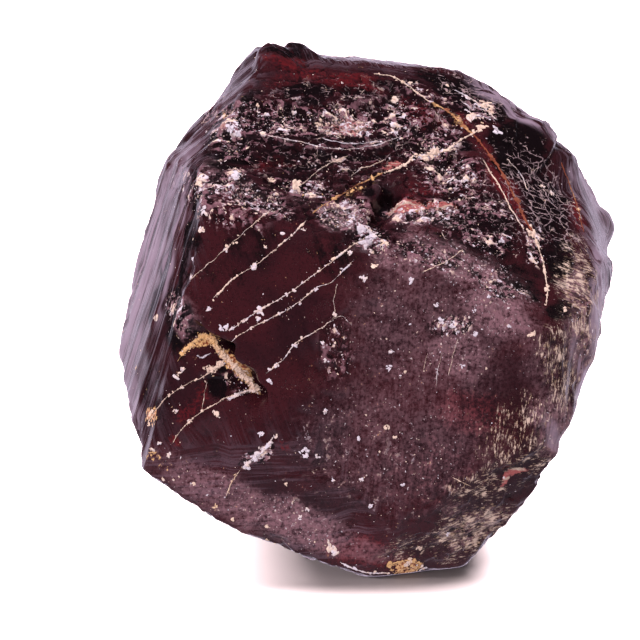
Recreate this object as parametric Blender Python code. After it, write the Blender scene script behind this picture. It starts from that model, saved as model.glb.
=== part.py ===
"""Garnet crystal: one natural single crystal about 30 mm across, in metres, +Z up, seen from -Y.

A block is cut down by the crystal's flat faces, which are listed as a goniometer reads them: azimuth,
elevation and distance from the crystal's centre. The edges are worn, the skin is divided into small
triangles, and ledges, ridges, troughs, knobs and chips are then pressed into it or raised from it.
The crystal rests on a broken face, and its origin is under the middle of its box.
"""

import math

import bmesh
import bpy
from mathutils import Vector, noise

MM = 0.001
NAME = "garnet_crystal"

# Driving dimensions, in millimetres.
REST_DEPTH = 13.5  # from the crystal's centre down to the face it rests on
BLOCK = 60.0  # side of the block that the faces cut down
CORNER_SNAP = 0.1  # a cut this close to a corner goes through it
SHORTEST_EDGE = 0.78  # corners closer than this are one corner
CLOSEST_CORNERS = 0.2  # closest corners left after the ridge lines are cut
EDGE_WEAR = 0.28  # width of the worn strip on each side of an edge
SKIN_STEP = 2.7  # longest triangle side on plain faces
FINE_STEP = 1.0  # longest triangle side along a ledge
FINEST_STEP = 0.52  # longest triangle side in a trough or on a knob
WAVE_LENGTH, WAVE_HEIGHT = 5.0, 0.1  # slow waviness of every face
CHIP_SPACING, CHIP_DEPTH = 2.6, 0.75  # chips along the edges
CHIP_REACH = 1.1  # how far from an edge a chip can reach
CHIP_SEED = Vector((0.0, 0.0, 40.0))
BEND_LENGTH, BEND = 2.9, 1.1  # how the line of a ledge wanders
RIM = 0.8  # the relief fades out over this height above the rest face

# Tolerances and working steps.
NEAR_FACE = 3.0  # a face deeper over a point than this can't cut it
LEAST_FACING = 0.2  # nor can one that faces this far away from it
EDGE_ANGLE = math.radians(3.0)  # faces that meet at more than this have a worn edge
FLAT_ANGLE = math.radians(0.5)  # triangles that meet at less than this lie in one face
SAME_FACE = 0.25  # a polygon this close under a face and parallel to it belongs to it
LINE_SNAP = 0.05  # a ridge line this close to a corner goes through it
SLIVER = 0.08  # edges shorter than this are closed up
MOST_DIVISIONS = 60
SETTLING = 4

# name: (azimuth in degrees from the front toward the right, elevation in degrees, distance in mm)
FACES = {
    "front": (-9.0, 9.0, 12.9),
    "front_right": (5.0, 3.5, 12.7),
    "front_low": (-7.0, -8.0, 14.4),
    "top_front": (12.0, 56.0, 11.8),
    "top_right": (27.5, 36.0, 12.8),
    "shoulder": (54.0, 51.0, 12.9),
    "shoulder_top": (41.5, 62.0, 12.7),
    "right_front": (41.0, 0.5, 15.6),
    "low_right": (24.5, -27.5, 16.1),
    "right_low": (69.0, -10.5, 15.3),
    "right_high": (75.0, 5.0, 15.05),
    "cheek": (81.5, 27.0, 14.65),
    "cheek_back": (99.5, 29.0, 15.9),
    "right": (92.5, -8.0, 14.4),
    "right_under": (91.0, -21.0, 13.0),
    "under_right": (90.0, -35.0, 13.1),
    "belly_right": (89.0, -46.0, 13.7),
    "left": (-72.5, 14.0, 13.8),
    "left_high": (-74.5, 45.5, 15.0),
    "left_back": (-107.5, 29.5, 14.5),
    "left_mid": (-102.5, 12.0, 13.85),
    "left_low": (-94.0, -26.0, 14.4),
    "under_left": (-86.0, -56.0, 13.85),
    "under": (-64.5, -69.0, 14.5),
    "crown": (98.5, 83.5, 14.7),
    "crown_right": (83.0, 62.0, 14.75),
    "crown_rear": (108.0, 49.0, 15.6),
    "back": (180.0, -8.0, 13.5),
    "back_left": (-138.5, 2.5, 14.5),
    "back_right": (138.5, -15.5, 14.5),
    "back_high": (178.5, 38.0, 14.0),
    "back_low": (-167.5, -56.0, 14.2),
    "rest": (0.0, -90.0, REST_DEPTH),
}

# A place on a face is (right, up) in mm from the foot of the face's normal, seen from outside.
# Troughs and pits: face, start, end, half width, depth.
TROUGHS = (
    ("front", (-8.2, -1.5), (-6.5, -2.3), 0.55, 0.9),  # the ochre pit's upper arm
    ("front", (-6.6, -2.3), (-4.3, -4.7), 0.75, 1.2),  # its main run down to the right
    ("front", (-7.0, -4.2), (-4.6, -4.9), 0.65, 0.8),  # the dark hollow under it
    ("front", (0.6, 4.6), (2.2, 3.4), 0.8, 0.5),  # crushed corner above the middle
    ("top_front", (-1.8, -4.3), (-0.2, -1.9), 0.7, 0.9),  # wedge behind that corner
    ("top_front", (3.0, -0.4), (4.6, 1.3), 0.6, 0.5),
    ("top_front", (-9.6, -1.9), (-4.2, -4.0), 0.8, 0.3),  # crushed band along the front edge
    ("back_high", (-4.5, 3.5), (-1.0, 1.0), 1.1, 1.0),
    ("back", (2.0, -3.0), (5.5, -0.5), 1.0, 0.8),
    ("right_under", (-3.0, 1.0), (0.5, -2.0), 0.9, 0.6),
    ("left_low", (-2.0, 0.5), (2.5, 2.0), 0.9, 0.7),
)
# Raised knobs: face, place, radius, height.
KNOBS = (
    ("top_front", (-5.3, 9.7), 1.7, 0.85),  # the peak
    ("crown", (2.4, 5.4), 1.6, 0.55),
    ("cheek", (4.9, -2.0), 1.5, 0.45),
    ("left_low", (-4.5, 3.5), 1.6, 0.4),
    ("back_left", (2.0, 4.5), 2.2, 0.5),
)
# Curved ledges, as left by shell-like breaks: face, centre, radii, drop past each radius.
LEDGES = (
    ("top_front", (-3.0, 9.6), (5.0, 7.9), 0.32),
    ("shoulder", (4.0, 5.5), (4.2, 6.6), 0.25),
    ("back_high", (6.0, 9.0), (6.0, 9.0, 11.5), 0.4),
    ("back", (-7.0, -8.0), (6.5, 9.5), 0.35),
    ("back_low", (4.0, 6.5), (4.0, 7.0), 0.35),
    ("under_right", (-5.0, -6.0), (4.5, 7.5), 0.3),
    ("right_under", (5.0, 5.0), (3.5, 6.0), 0.25),
)
# Growth ridges: face, direction they run in degrees from right toward up, spacing, height.
RIDGES = (
    ("left", 76.0, 2.2, 0.16),
    ("left_high", 62.0, 2.0, 0.16),
    ("left_mid", 84.0, 2.3, 0.15),
    ("left_back", 70.0, 2.4, 0.18),
    ("top_right", 152.0, 2.0, 0.12),
    ("front_low", 4.0, 2.4, 0.07),
    ("low_right", 12.0, 2.2, 0.14),
    ("right", 80.0, 2.2, 0.12),
    ("right_front", 84.0, 2.0, 0.1),
    ("back_left", 100.0, 2.4, 0.15),
    ("back_right", 65.0, 2.5, 0.15),
    ("crown_rear", 20.0, 2.2, 0.14),
)


class Face:
    """One flat face: its outward normal, distance, and the right and up directions on it."""

    def __init__(self, azimuth, elevation, distance):
        a, e = math.radians(azimuth), math.radians(elevation)
        self.normal = Vector(
            (math.sin(a) * math.cos(e), -math.cos(a) * math.cos(e), math.sin(e))
        )
        self.distance = distance
        steep = Vector((0, 1, 0)) if abs(elevation) > 89 else Vector((0, 0, 1))
        self.up = (steep - steep.dot(self.normal) * self.normal).normalized()
        self.right = self.up.cross(self.normal)

    def depth(self, point):
        """How far a point lies under the face."""
        return self.distance - self.normal.dot(point)

    def place(self, point):
        """A point's place on the face, as right and up."""
        return Vector((self.right.dot(point), self.up.dot(point)))

    def point(self, place):
        """The point in space at a place on the face."""
        right, up = place
        return self.normal * self.distance + self.right * right + self.up * up


def smooth_step(low, high, value):
    """0 up to low, 1 from high on, and a smooth rise between them."""
    t = min(max((value - low) / (high - low), 0.0), 1.0)
    return t * t * (3.0 - 2.0 * t)


def remove_objects():
    for obj in list(bpy.data.objects):
        bpy.data.objects.remove(obj, do_unlink=True)


def cut_block(faces):
    """Cuts the block down by every face and closes each cut."""
    bm = bmesh.new()
    bmesh.ops.create_cube(bm, size=BLOCK)
    for face in faces.values():
        cut = bmesh.ops.bisect_plane(
            bm,
            geom=bm.verts[:] + bm.edges[:] + bm.faces[:],
            dist=CORNER_SNAP,
            plane_co=face.normal * face.distance,
            plane_no=face.normal,
            clear_outer=True,
        )
        rim = [e for e in cut["geom_cut"] if isinstance(e, bmesh.types.BMEdge)]
        bmesh.ops.contextual_create(bm, geom=rim)
    bmesh.ops.remove_doubles(bm, verts=bm.verts, dist=SHORTEST_EDGE)
    return bm


def wear_edges(bm):
    """Joins each face's triangles into one polygon and bevels the edges between the faces."""
    bmesh.ops.triangulate(bm, faces=bm.faces)
    sharp = [e for e in bm.edges if e.calc_face_angle() > EDGE_ANGLE]
    flat = [e for e in bm.edges if e.calc_face_angle() <= EDGE_ANGLE]
    bmesh.ops.dissolve_edges(bm, edges=flat, use_verts=False)
    bmesh.ops.bevel(
        bm,
        geom=[e for e in sharp if e.is_valid],
        offset=EDGE_WEAR,
        affect="EDGES",
        segments=1,
        profile=0.5,
        material=-1,
    )


def belongs_to(polygon, face):
    parallel = polygon.normal.angle(face.normal) < 2.0 * EDGE_ANGLE
    return parallel and abs(face.depth(polygon.calc_center_median())) < SAME_FACE


def cut_ridge_lines(bm, faces):
    """Cuts the crest and valley lines of the growth ridges into their faces."""
    for name, direction, spacing, _ in RIDGES:
        face = faces[name]
        across = ridge_across(face, direction)
        polygons = [f for f in bm.faces if belongs_to(f, face)]
        places = [v.co.dot(across) for f in polygons for v in f.verts]
        line = math.ceil(min(places) / spacing * 2)
        while line * spacing / 2 < max(places):
            edges = dict.fromkeys(e for f in polygons for e in f.edges)
            verts = dict.fromkeys(v for f in polygons for v in f.verts)
            cut = bmesh.ops.bisect_plane(
                bm,
                geom=[*verts, *edges, *polygons],
                dist=LINE_SNAP,
                plane_co=across * (line * spacing / 2),
                plane_no=across,
            )
            polygons = [g for g in cut["geom"] if isinstance(g, bmesh.types.BMFace)]
            line += 1
    bmesh.ops.remove_doubles(bm, verts=bm.verts, dist=CLOSEST_CORNERS)


def wanted_step(point, faces):
    """Longest triangle side at a point: short in troughs and on knobs, middling on ledge lines."""
    for start, end, width, _ in troughs(faces):
        if distance_to_run(point, start, end) < 1.6 * width:
            return FINEST_STEP
    for middle, radius, _ in knobs(faces):
        if (point - middle).length < radius:
            return FINEST_STEP
    for name, centre, radii, _ in LEDGES:
        face = faces[name]
        if face.depth(point) < SAME_FACE:
            away = ledge_away(face.place(point), centre)
            if min(abs(away - radius) for radius in radii) < FINE_STEP:
                return FINE_STEP
    return SKIN_STEP


def lies_in_face(edge):
    return edge.calc_face_angle() < FLAT_ANGLE


def too_long(edge, faces):
    length = edge.calc_length()
    if length <= FINEST_STEP:
        return False
    return length > wanted_step((edge.verts[0].co + edge.verts[1].co) / 2, faces)


def divide_skin(bm, faces):
    """Halves the longest edges first, one to a triangle at a time, until none is too long."""
    bmesh.ops.triangulate(bm, faces=bm.faces)
    for _ in range(MOST_DIVISIONS):
        taken, halved = set(), []
        for edge in sorted(bm.edges, key=lambda e: e.calc_length(), reverse=True):
            if taken.isdisjoint(edge.link_faces) and too_long(edge, faces):
                halved.append(edge)
                taken.update(edge.link_faces)
        if not halved:
            break
        bmesh.ops.subdivide_edges(bm, edges=halved, cuts=1, use_single_edge=True)
        bmesh.ops.dissolve_degenerate(bm, dist=SLIVER, edges=bm.edges)
        bmesh.ops.triangulate(bm, faces=bm.faces)
        flat = [e for e in bm.edges if lies_in_face(e)]
        bmesh.ops.beautify_fill(bm, faces=bm.faces, edges=flat)
    for _ in range(SETTLING):
        inner = [v for v in bm.verts if all(map(lies_in_face, v.link_edges))]
        bmesh.ops.smooth_vert(
            bm, verts=inner, factor=0.5, use_axis_x=True, use_axis_y=True, use_axis_z=True
        )


def troughs(faces):
    """The troughs as start, end, half width and depth, with their ends in space."""
    for name, start, end, width, depth in TROUGHS:
        yield faces[name].point(start), faces[name].point(end), width, depth


def knobs(faces):
    for name, middle, radius, height in KNOBS:
        yield faces[name].point(middle), radius, height


def distance_to_run(point, start, end):
    """Distance from a point to the straight run between two others."""
    run = end - start
    along = min(max((point - start).dot(run) / run.length_squared, 0.0), 1.0)
    return (point - start - run * along).length


def ledge_away(place, centre):
    """Distance from a ledge's centre, bent so that its line wanders as a real break does."""
    bend = noise.noise(place.to_3d() / BEND_LENGTH)
    return (place - Vector(centre)).length + BEND * bend


def ledge_height(face, point, centre, radii, drop):
    away = ledge_away(face.place(point), centre)
    return -drop * sum(smooth_step(r - 0.2, r + 0.3, away) for r in radii)


def ridge_across(face, direction):
    """The direction on a face at right angles to its ridges."""
    turn = math.radians(direction)
    return face.up * math.cos(turn) - face.right * math.sin(turn)


def ridge_height(face, point, direction, spacing, height):
    """Straight ridges whose valleys lie on whole multiples of the spacing, and fade in and out."""
    phase = ridge_across(face, direction).dot(point) / spacing
    valley = abs(2.0 * (phase - math.floor(phase)) - 1.0)
    strength = 0.75 + 0.6 * noise.noise(point / spacing)
    return height * strength * (0.4 - valley)


def worn_depth(point, second_depth, faces):
    """What chips, waves, troughs and knobs take off the skin at a point, in mm."""
    near_edge = 1.0 - smooth_step(0.15, CHIP_REACH, second_depth)
    chance = noise.noise(point / CHIP_SPACING + CHIP_SEED)
    depth = CHIP_DEPTH * near_edge * max(chance - 0.08, 0.0)
    depth += WAVE_HEIGHT * (0.1 - noise.noise(point / WAVE_LENGTH))
    for start, end, width, full in troughs(faces):
        wobble = 0.3 * noise.noise(point * 1.1)
        away = distance_to_run(point, start, end) + wobble
        depth += full * (1.0 - smooth_step(0.3 * width, 1.4 * width, away))
    for middle, radius, height in knobs(faces):
        away = (point - middle).length / radius
        depth -= height * (1.0 - smooth_step(0.25, 1.0, away))
    return depth


def skin_point(point, faces):
    """The point of the broken and worn skin that is straight out from the centre through a point."""
    outward = point.normalized()
    flat_reaches, reaches = [], []
    for name, face in faces.items():
        facing = face.normal.dot(outward)
        if facing < LEAST_FACING or face.depth(point) > NEAR_FACE:
            continue
        height = 0.0
        for _, *ledge in (row for row in LEDGES if row[0] == name):
            height += ledge_height(face, point, *ledge)
        for _, *ridge in (row for row in RIDGES if row[0] == name):
            height += ridge_height(face, point, *ridge)
        flat_reaches.append(face.distance / facing)
        reaches.append((face.distance + height) / facing)
    worn_strip = min(flat_reaches) - point.length
    depths = sorted(face.depth(point) for face in faces.values())
    worn = worn_depth(point, depths[1], faces)
    worn *= smooth_step(0.0, RIM, faces["rest"].depth(point))
    return outward * (min(reaches) - worn_strip - worn)


def press_relief(bm, faces):
    moved = [skin_point(v.co.copy(), faces) for v in bm.verts]
    for vert, co in zip(bm.verts, moved):
        vert.co = co


def stand_at_origin(bm):
    """Puts the origin under the middle of the crystal's box and turns millimetres into metres."""
    low = [min(v.co[i] for v in bm.verts) for i in range(3)]
    high = [max(v.co[i] for v in bm.verts) for i in range(3)]
    middle = Vector(((low[0] + high[0]) / 2, (low[1] + high[1]) / 2, low[2]))
    for vert in bm.verts:
        vert.co = (vert.co - middle) * MM


def garnet_material():
    material = bpy.data.materials.new("garnet")
    material.use_nodes = True
    shader = material.node_tree.nodes["Principled BSDF"]
    shader.inputs["Base Color"].default_value = (0.08, 0.022, 0.03, 1.0)
    shader.inputs["Roughness"].default_value = 0.35
    shader.inputs["Metallic"].default_value = 0.0
    shader.inputs["IOR"].default_value = 1.8
    return material


def build_crystal():
    faces = {name: Face(*reading) for name, reading in FACES.items()}
    bm = cut_block(faces)
    wear_edges(bm)
    cut_ridge_lines(bm, faces)
    divide_skin(bm, faces)
    press_relief(bm, faces)
    stand_at_origin(bm)
    bmesh.ops.recalc_face_normals(bm, faces=bm.faces)
    mesh = bpy.data.meshes.new(NAME)
    bm.to_mesh(mesh)
    bm.free()
    mesh.materials.append(garnet_material())
    crystal = bpy.data.objects.new(NAME, mesh)
    bpy.context.scene.collection.objects.link(crystal)
    return crystal


def main():
    remove_objects()
    build_crystal()


main()
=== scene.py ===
"""Looks of a natural garnet crystal: its broken and grown skin, mineral veins, ochre crust and grains.

The crystal is one stone, so everything rides on the one body. Sizes on the crystal are in millimetres
from its centre, and places on the side toward the camera are pixels of the 640 x 640 view.
"""

import math

import bmesh
import bpy
import numpy as np
from bpy.props import FloatProperty, FloatVectorProperty, PointerProperty
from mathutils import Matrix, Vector, noise
from mathutils.bvhtree import BVHTree


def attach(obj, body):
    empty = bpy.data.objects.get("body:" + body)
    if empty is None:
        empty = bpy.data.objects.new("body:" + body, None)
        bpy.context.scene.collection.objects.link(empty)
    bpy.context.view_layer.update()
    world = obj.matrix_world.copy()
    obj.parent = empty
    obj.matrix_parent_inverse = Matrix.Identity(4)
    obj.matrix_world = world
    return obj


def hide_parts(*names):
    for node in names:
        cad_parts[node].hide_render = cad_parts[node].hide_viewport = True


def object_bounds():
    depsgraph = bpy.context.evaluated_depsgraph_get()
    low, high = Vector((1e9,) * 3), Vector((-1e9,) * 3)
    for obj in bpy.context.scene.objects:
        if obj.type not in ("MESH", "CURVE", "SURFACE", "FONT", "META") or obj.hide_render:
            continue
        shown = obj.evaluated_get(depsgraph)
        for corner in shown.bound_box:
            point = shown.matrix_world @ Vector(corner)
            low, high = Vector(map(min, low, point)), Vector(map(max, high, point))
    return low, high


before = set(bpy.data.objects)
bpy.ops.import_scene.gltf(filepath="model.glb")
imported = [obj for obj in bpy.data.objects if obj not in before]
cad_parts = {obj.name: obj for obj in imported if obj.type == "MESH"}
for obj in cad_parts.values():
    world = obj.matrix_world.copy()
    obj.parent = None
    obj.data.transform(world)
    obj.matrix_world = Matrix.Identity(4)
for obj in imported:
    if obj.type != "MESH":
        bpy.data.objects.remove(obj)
CAD_LOW, CAD_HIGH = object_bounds()

bl_info = {
    "name": "Garnet Crystal",
    "version": (1, 0, 0),
    "blender": (4, 5, 0),
    "location": "3D View > Sidebar > Garnet",
    "description": "Builds a natural garnet crystal with its veins, crust and grains",
    "category": "Add Mesh",
}

BODY = "root"
NODE = "garnet_crystal"
MM = 0.001
CENTRE = np.array((-0.067, 0.044, 13.5))  # the crystal's centre in the row frame, mm

# The view that the picture places are read in.
VIEW_SIDE = 640.0  # pixels
VIEW_ELEVATION = math.radians(10.0)
VIEW_DISTANCE = 200.0  # mm from the crystal's centre
VIEW_SCALE = 16.625  # pixels to a millimetre at the crystal's centre
VIEW_MIDDLE = (368.0, 310.0)  # the pixel that the crystal's centre falls on
SENSOR = 36.0  # mm

# Flat faces as a goniometer reads them: azimuth from the front toward the right, elevation, distance.
FACES = {
    "front": (-9.0, 9.0, 12.9),
    "front_right": (5.0, 3.5, 12.7),
    "front_low": (-7.0, -8.0, 14.4),
    "top_front": (12.0, 56.0, 11.8),
    "top_right": (27.5, 36.0, 12.8),
    "shoulder": (54.0, 51.0, 12.9),
    "shoulder_top": (41.5, 62.0, 12.7),
    "right_front": (41.0, 0.5, 15.6),
    "low_right": (24.5, -27.5, 16.1),
    "right_low": (69.0, -10.5, 15.3),
    "right_high": (75.0, 5.0, 15.05),
    "cheek": (81.5, 27.0, 14.65),
    "cheek_back": (99.5, 29.0, 15.9),
    "right": (92.5, -8.0, 14.4),
    "right_under": (91.0, -21.0, 13.0),
    "under_right": (90.0, -35.0, 13.1),
    "belly_right": (89.0, -46.0, 13.7),
    "left": (-72.5, 14.0, 13.8),
    "left_high": (-74.5, 45.5, 15.0),
    "left_back": (-107.5, 29.5, 14.5),
    "left_mid": (-102.5, 12.0, 13.85),
    "left_low": (-94.0, -26.0, 14.4),
    "under_left": (-86.0, -56.0, 13.85),
    "under": (-64.5, -69.0, 14.5),
    "crown": (98.5, 83.5, 14.7),
    "crown_right": (83.0, 62.0, 14.75),
    "crown_rear": (108.0, 49.0, 15.6),
    "back": (180.0, -8.0, 13.5),
    "back_left": (-138.5, 2.5, 14.5),
    "back_right": (138.5, -15.5, 14.5),
    "back_high": (178.5, 38.0, 14.0),
    "back_low": (-167.5, -56.0, 14.2),
    "rest": (0.0, -90.0, 13.5),
}

# A place on a face is (right, up) in mm from the foot of the face's normal, seen from outside.
# Troughs and pits: face, start, end, half width, depth.
TROUGHS = (
    ("front", (-8.2, -1.5), (-6.5, -2.3), 0.55, 0.9),
    ("front", (-6.9, -2.6), (-4.6, -5.0), 0.75, 1.2),
    ("front", (-7.0, -4.2), (-4.6, -4.9), 0.65, 0.8),
    ("front", (0.6, 4.6), (2.2, 3.4), 0.8, 0.5),
    ("top_front", (-1.8, -4.3), (-0.2, -1.9), 0.7, 0.9),
    ("top_front", (3.0, -0.4), (4.6, 1.3), 0.6, 0.5),
    ("top_front", (-9.6, -1.9), (-4.2, -4.0), 0.8, 0.3),
    ("back_high", (-4.5, 3.5), (-1.0, 1.0), 1.1, 1.0),
    ("back", (2.0, -3.0), (5.5, -0.5), 1.0, 0.8),
    ("right_under", (-3.0, 1.0), (0.5, -2.0), 0.9, 0.6),
    ("left_low", (-2.0, 0.5), (2.5, 2.0), 0.9, 0.7),
)
# Raised knobs: face, place, radius, height.
KNOBS = (
    ("top_front", (-5.3, 9.7), 1.7, 0.85),
    ("crown", (2.4, 5.4), 1.6, 0.55),
    ("crown", (3.4, 5.6), 1.4, 0.3),
    ("shoulder", (7.2, -0.1), 3.3, 0.95),
    ("cheek", (4.9, -2.0), 1.5, 0.45),
    ("left_low", (-4.5, 3.5), 1.6, 0.4),
    ("back_left", (2.0, 4.5), 2.2, 0.5),
)
# Curved ledges, as left by shell-like breaks: face, centre, radii, drop past each radius.
LEDGES = (
    ("top_front", (-3.0, 9.6), (5.0, 7.9), 0.32),
    ("shoulder", (4.0, 5.5), (4.2, 6.6), 0.25),
    ("back_high", (6.0, 9.0), (6.0, 9.0, 11.5), 0.4),
    ("back", (-7.0, -8.0), (6.5, 9.5), 0.35),
    ("back_low", (4.0, 6.5), (4.0, 7.0), 0.35),
    ("under_right", (-5.0, -6.0), (4.5, 7.5), 0.3),
    ("right_under", (5.0, 5.0), (3.5, 6.0), 0.25),
)
# Growth ridges: face, direction they run in degrees from right toward up, spacing, height.
RIDGES = (
    ("left", 76.0, 2.2, 0.16),
    ("left_high", 62.0, 2.0, 0.16),
    ("left_mid", 84.0, 2.3, 0.15),
    ("left_back", 70.0, 2.4, 0.18),
    ("top_right", 152.0, 2.0, 0.12),
    ("front_low", 4.0, 2.4, 0.07),
    ("low_right", 12.0, 2.2, 0.14),
    ("right", 80.0, 2.2, 0.12),
    ("right_front", 84.0, 2.0, 0.1),
    ("back_left", 100.0, 2.4, 0.15),
    ("back_right", 65.0, 2.5, 0.15),
    ("crown_rear", 20.0, 2.2, 0.14),
)
# The way the fine growth lines run on faces that have no ridges.
GROWTH = {
    "front": 112.0,
    "front_right": 84.0,
    "top_front": 176.0,
    "shoulder": 72.0,
    "shoulder_top": 150.0,
    "right_low": 82.0,
    "right_high": 86.0,
    "cheek": 60.0,
    "crown": 4.0,
    "crown_right": 30.0,
}
# How finely each face is broken: 0 is as grown, 1 is crushed.
BROKEN = {
    "top_front": 0.65,
    "top_right": 0.3,
    "shoulder": 0.3,
    "shoulder_top": 0.35,
    "cheek": 0.12,
    "cheek_back": 0.3,
    "right_high": 0.25,
    "right_front": 0.2,
    "low_right": 0.35,
    "crown": 0.1,
    "crown_right": 0.1,
    "crown_rear": 0.2,
    "right_under": 0.5,
    "under_right": 0.5,
    "belly_right": 0.5,
    "left_low": 0.35,
    "under_left": 0.5,
    "under": 0.6,
    "back_high": 0.65,
    "back": 0.3,
    "back_low": 0.6,
}
# How far growth streaks, tinted lavender with painted sheen, cover each face.
STREAKED = {
    "left": 0.5,
    "left_mid": 1.0,
    "left_high": 0.7,
    "left_back": 0.5,
    "left_low": 0.6,
    "crown": 0.9,
    "crown_right": 1.0,
    "crown_rear": 0.5,
    "cheek": 1.0,
    "cheek_back": 0.6,
    "right_high": 0.7,
    "right_low": 0.7,
    "right": 0.9,
    "right_under": 0.5,
    "back_left": 0.3,
    "back_right": 0.3,
    "front_low": 0.35,
}

# Relief of the skin, in mm on the crystal where nothing else is said.
NOISE_SEED = 3  # the clock would otherwise set where noise_vector starts
BLOCK_SIDE = 60.0  # of the block that the faces are cut from
SHORTEST_EDGE = 0.78  # shorter edges between faces are closed up
HIDDEN_STEP, GROWN_STEP, BROKEN_STEP = 2.9, 1.75, 1.35  # longest side of a triangle before SKIN_CUTS
SKIN_CUTS = 6
NEAR_FACE = 3.0  # a face shapes only the points that lie this near to its plane
LEAST_FACING = 0.2  # and that it faces at least this much
EDGE_BLEND = 0.11  # how softly two faces meet
SHARE_BLEND = 0.25  # how softly the shares of two faces meet
RIM = 0.8  # width of the unworn rim of the face that it rests on
CHIP_SPACING, CHIP_DEPTH, CHIP_REACH = 2.6, 0.75, 1.1
CHIP_SEED = np.array((0.0, 0.0, 40.0))
SMALL_CHIP_SPACING, SMALL_CHIP_DEPTH, SMALL_CHIP_REACH = 0.8, 0.3, 0.5
WAVE_LENGTH, WAVE_HEIGHT = 5.0, 0.1
BEND_LENGTH, BEND = 2.9, 1.1  # how ledges bend off a true curve
GROWTH_HEIGHT = 0.05  # of the fine growth lines
TERRACE_STEP, TERRACE_DROP = 1.3, 0.24
COARSE_SPLINTER, FINE_SPLINTER = 1.25, 0.55
COARSE_LUMP, FINE_LUMP = 0.6, 0.32
CRUMBLE = 0.9  # height of crushed lumps against their size
LIFT_FULL = 0.05  # height over the smoothed skin that counts as a full crest
LIFT_ROUNDS = 10
SHARP_ANGLE = math.radians(32)


def smooth_step(low, high, value):
    """0 below low, 1 above high and smooth between."""
    t = np.clip((value - low) / (high - low), 0.0, 1.0)
    return t * t * (3.0 - 2.0 * t)


def noise_over(points, length, seed=0.0):
    """Smooth noise at every point, about -1 to 1, with lumps of the given length."""
    spots = (points / length + seed).tolist()
    return np.array([noise.noise(spot) for spot in spots])


class Facets:
    """The flat faces: outward normals, distances, and the right and up directions on each."""

    def __init__(self, table):
        self.names = list(table)
        azimuths, elevations, self.distances = np.array(list(table.values())).T
        a, e = np.radians(azimuths), np.radians(elevations)
        self.normals = np.stack([np.sin(a) * np.cos(e), -np.cos(a) * np.cos(e), np.sin(e)], 1)
        steep = np.where(np.abs(elevations)[:, None] > 89, (0.0, 1.0, 0.0), (0.0, 0.0, 1.0))
        ups = steep - np.sum(steep * self.normals, 1)[:, None] * self.normals
        self.ups = ups / np.linalg.norm(ups, axis=1)[:, None]
        self.rights = np.cross(self.ups, self.normals)

    def index(self, name):
        return self.names.index(name)

    def depths(self, points):
        """How far inside each face's plane every point lies."""
        return self.distances - points @ self.normals.T

    def place(self, name, points):
        """Points as (right, up) on a face."""
        i = self.index(name)
        return np.stack([points @ self.rights[i], points @ self.ups[i]], 1)

    def point(self, name, place):
        """A (right, up) place on a face as a point."""
        i = self.index(name)
        return (
            self.normals[i] * self.distances[i]
            + self.rights[i] * place[0]
            + self.ups[i] * place[1]
        )

    def across(self, name, direction):
        """The direction on a face at right angles to lines that run the given way."""
        i, turn = self.index(name), math.radians(direction)
        return self.ups[i] * math.cos(turn) - self.rights[i] * math.sin(turn)

    def along(self, name, direction):
        """The direction on a face that lines of the given way run in."""
        i, turn = self.index(name), math.radians(direction)
        return self.ups[i] * math.sin(turn) + self.rights[i] * math.cos(turn)

    def directions(self):
        """For every face, the way its growth lines run, in degrees."""
        ways = {name: 90.0 for name in self.names}
        ways.update(GROWTH)
        ways.update({name: way for name, way, _, _ in RIDGES})
        return ways


FACETS = Facets(FACES)


class Sight:
    """Turns pixels of the view into places on the crystal, and back."""

    def __init__(self):
        sin, cos = math.sin(VIEW_ELEVATION), math.cos(VIEW_ELEVATION)
        self.right = np.array((1.0, 0.0, 0.0))
        self.up = np.array((0.0, sin, cos))
        self.back = np.array((0.0, -cos, sin))
        half = VIEW_SIDE / 2
        aside = -(VIEW_MIDDLE[0] - half) / VIEW_SCALE
        above = -(half - VIEW_MIDDLE[1]) / VIEW_SCALE
        self.eye = self.right * aside + self.up * above + self.back * VIEW_DISTANCE

    def ray(self, pixel):
        """The eye's place and the direction from it through a pixel."""
        half = VIEW_SIDE / 2
        x = (pixel[0] - half) / VIEW_SCALE / VIEW_DISTANCE
        y = (half - pixel[1]) / VIEW_SCALE / VIEW_DISTANCE
        way = self.right * x + self.up * y - self.back
        return Vector(self.eye), Vector(way).normalized()

    def pixels(self, points):
        """The pixel that each point falls on."""
        away = points - self.eye
        nearer = VIEW_DISTANCE / -(away @ self.back)
        half = VIEW_SIDE / 2
        x = half + (away @ self.right) * nearer * VIEW_SCALE
        y = half - (away @ self.up) * nearer * VIEW_SCALE
        return np.stack([x, y], 1)

    def facing(self, points, normals):
        """How squarely each point faces the eye: 1 straight at it, below 0 away from it."""
        toward = self.eye - points
        toward /= np.linalg.norm(toward, axis=1)[:, None]
        return np.sum(toward * normals, 1)


SIGHT = Sight()


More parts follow.
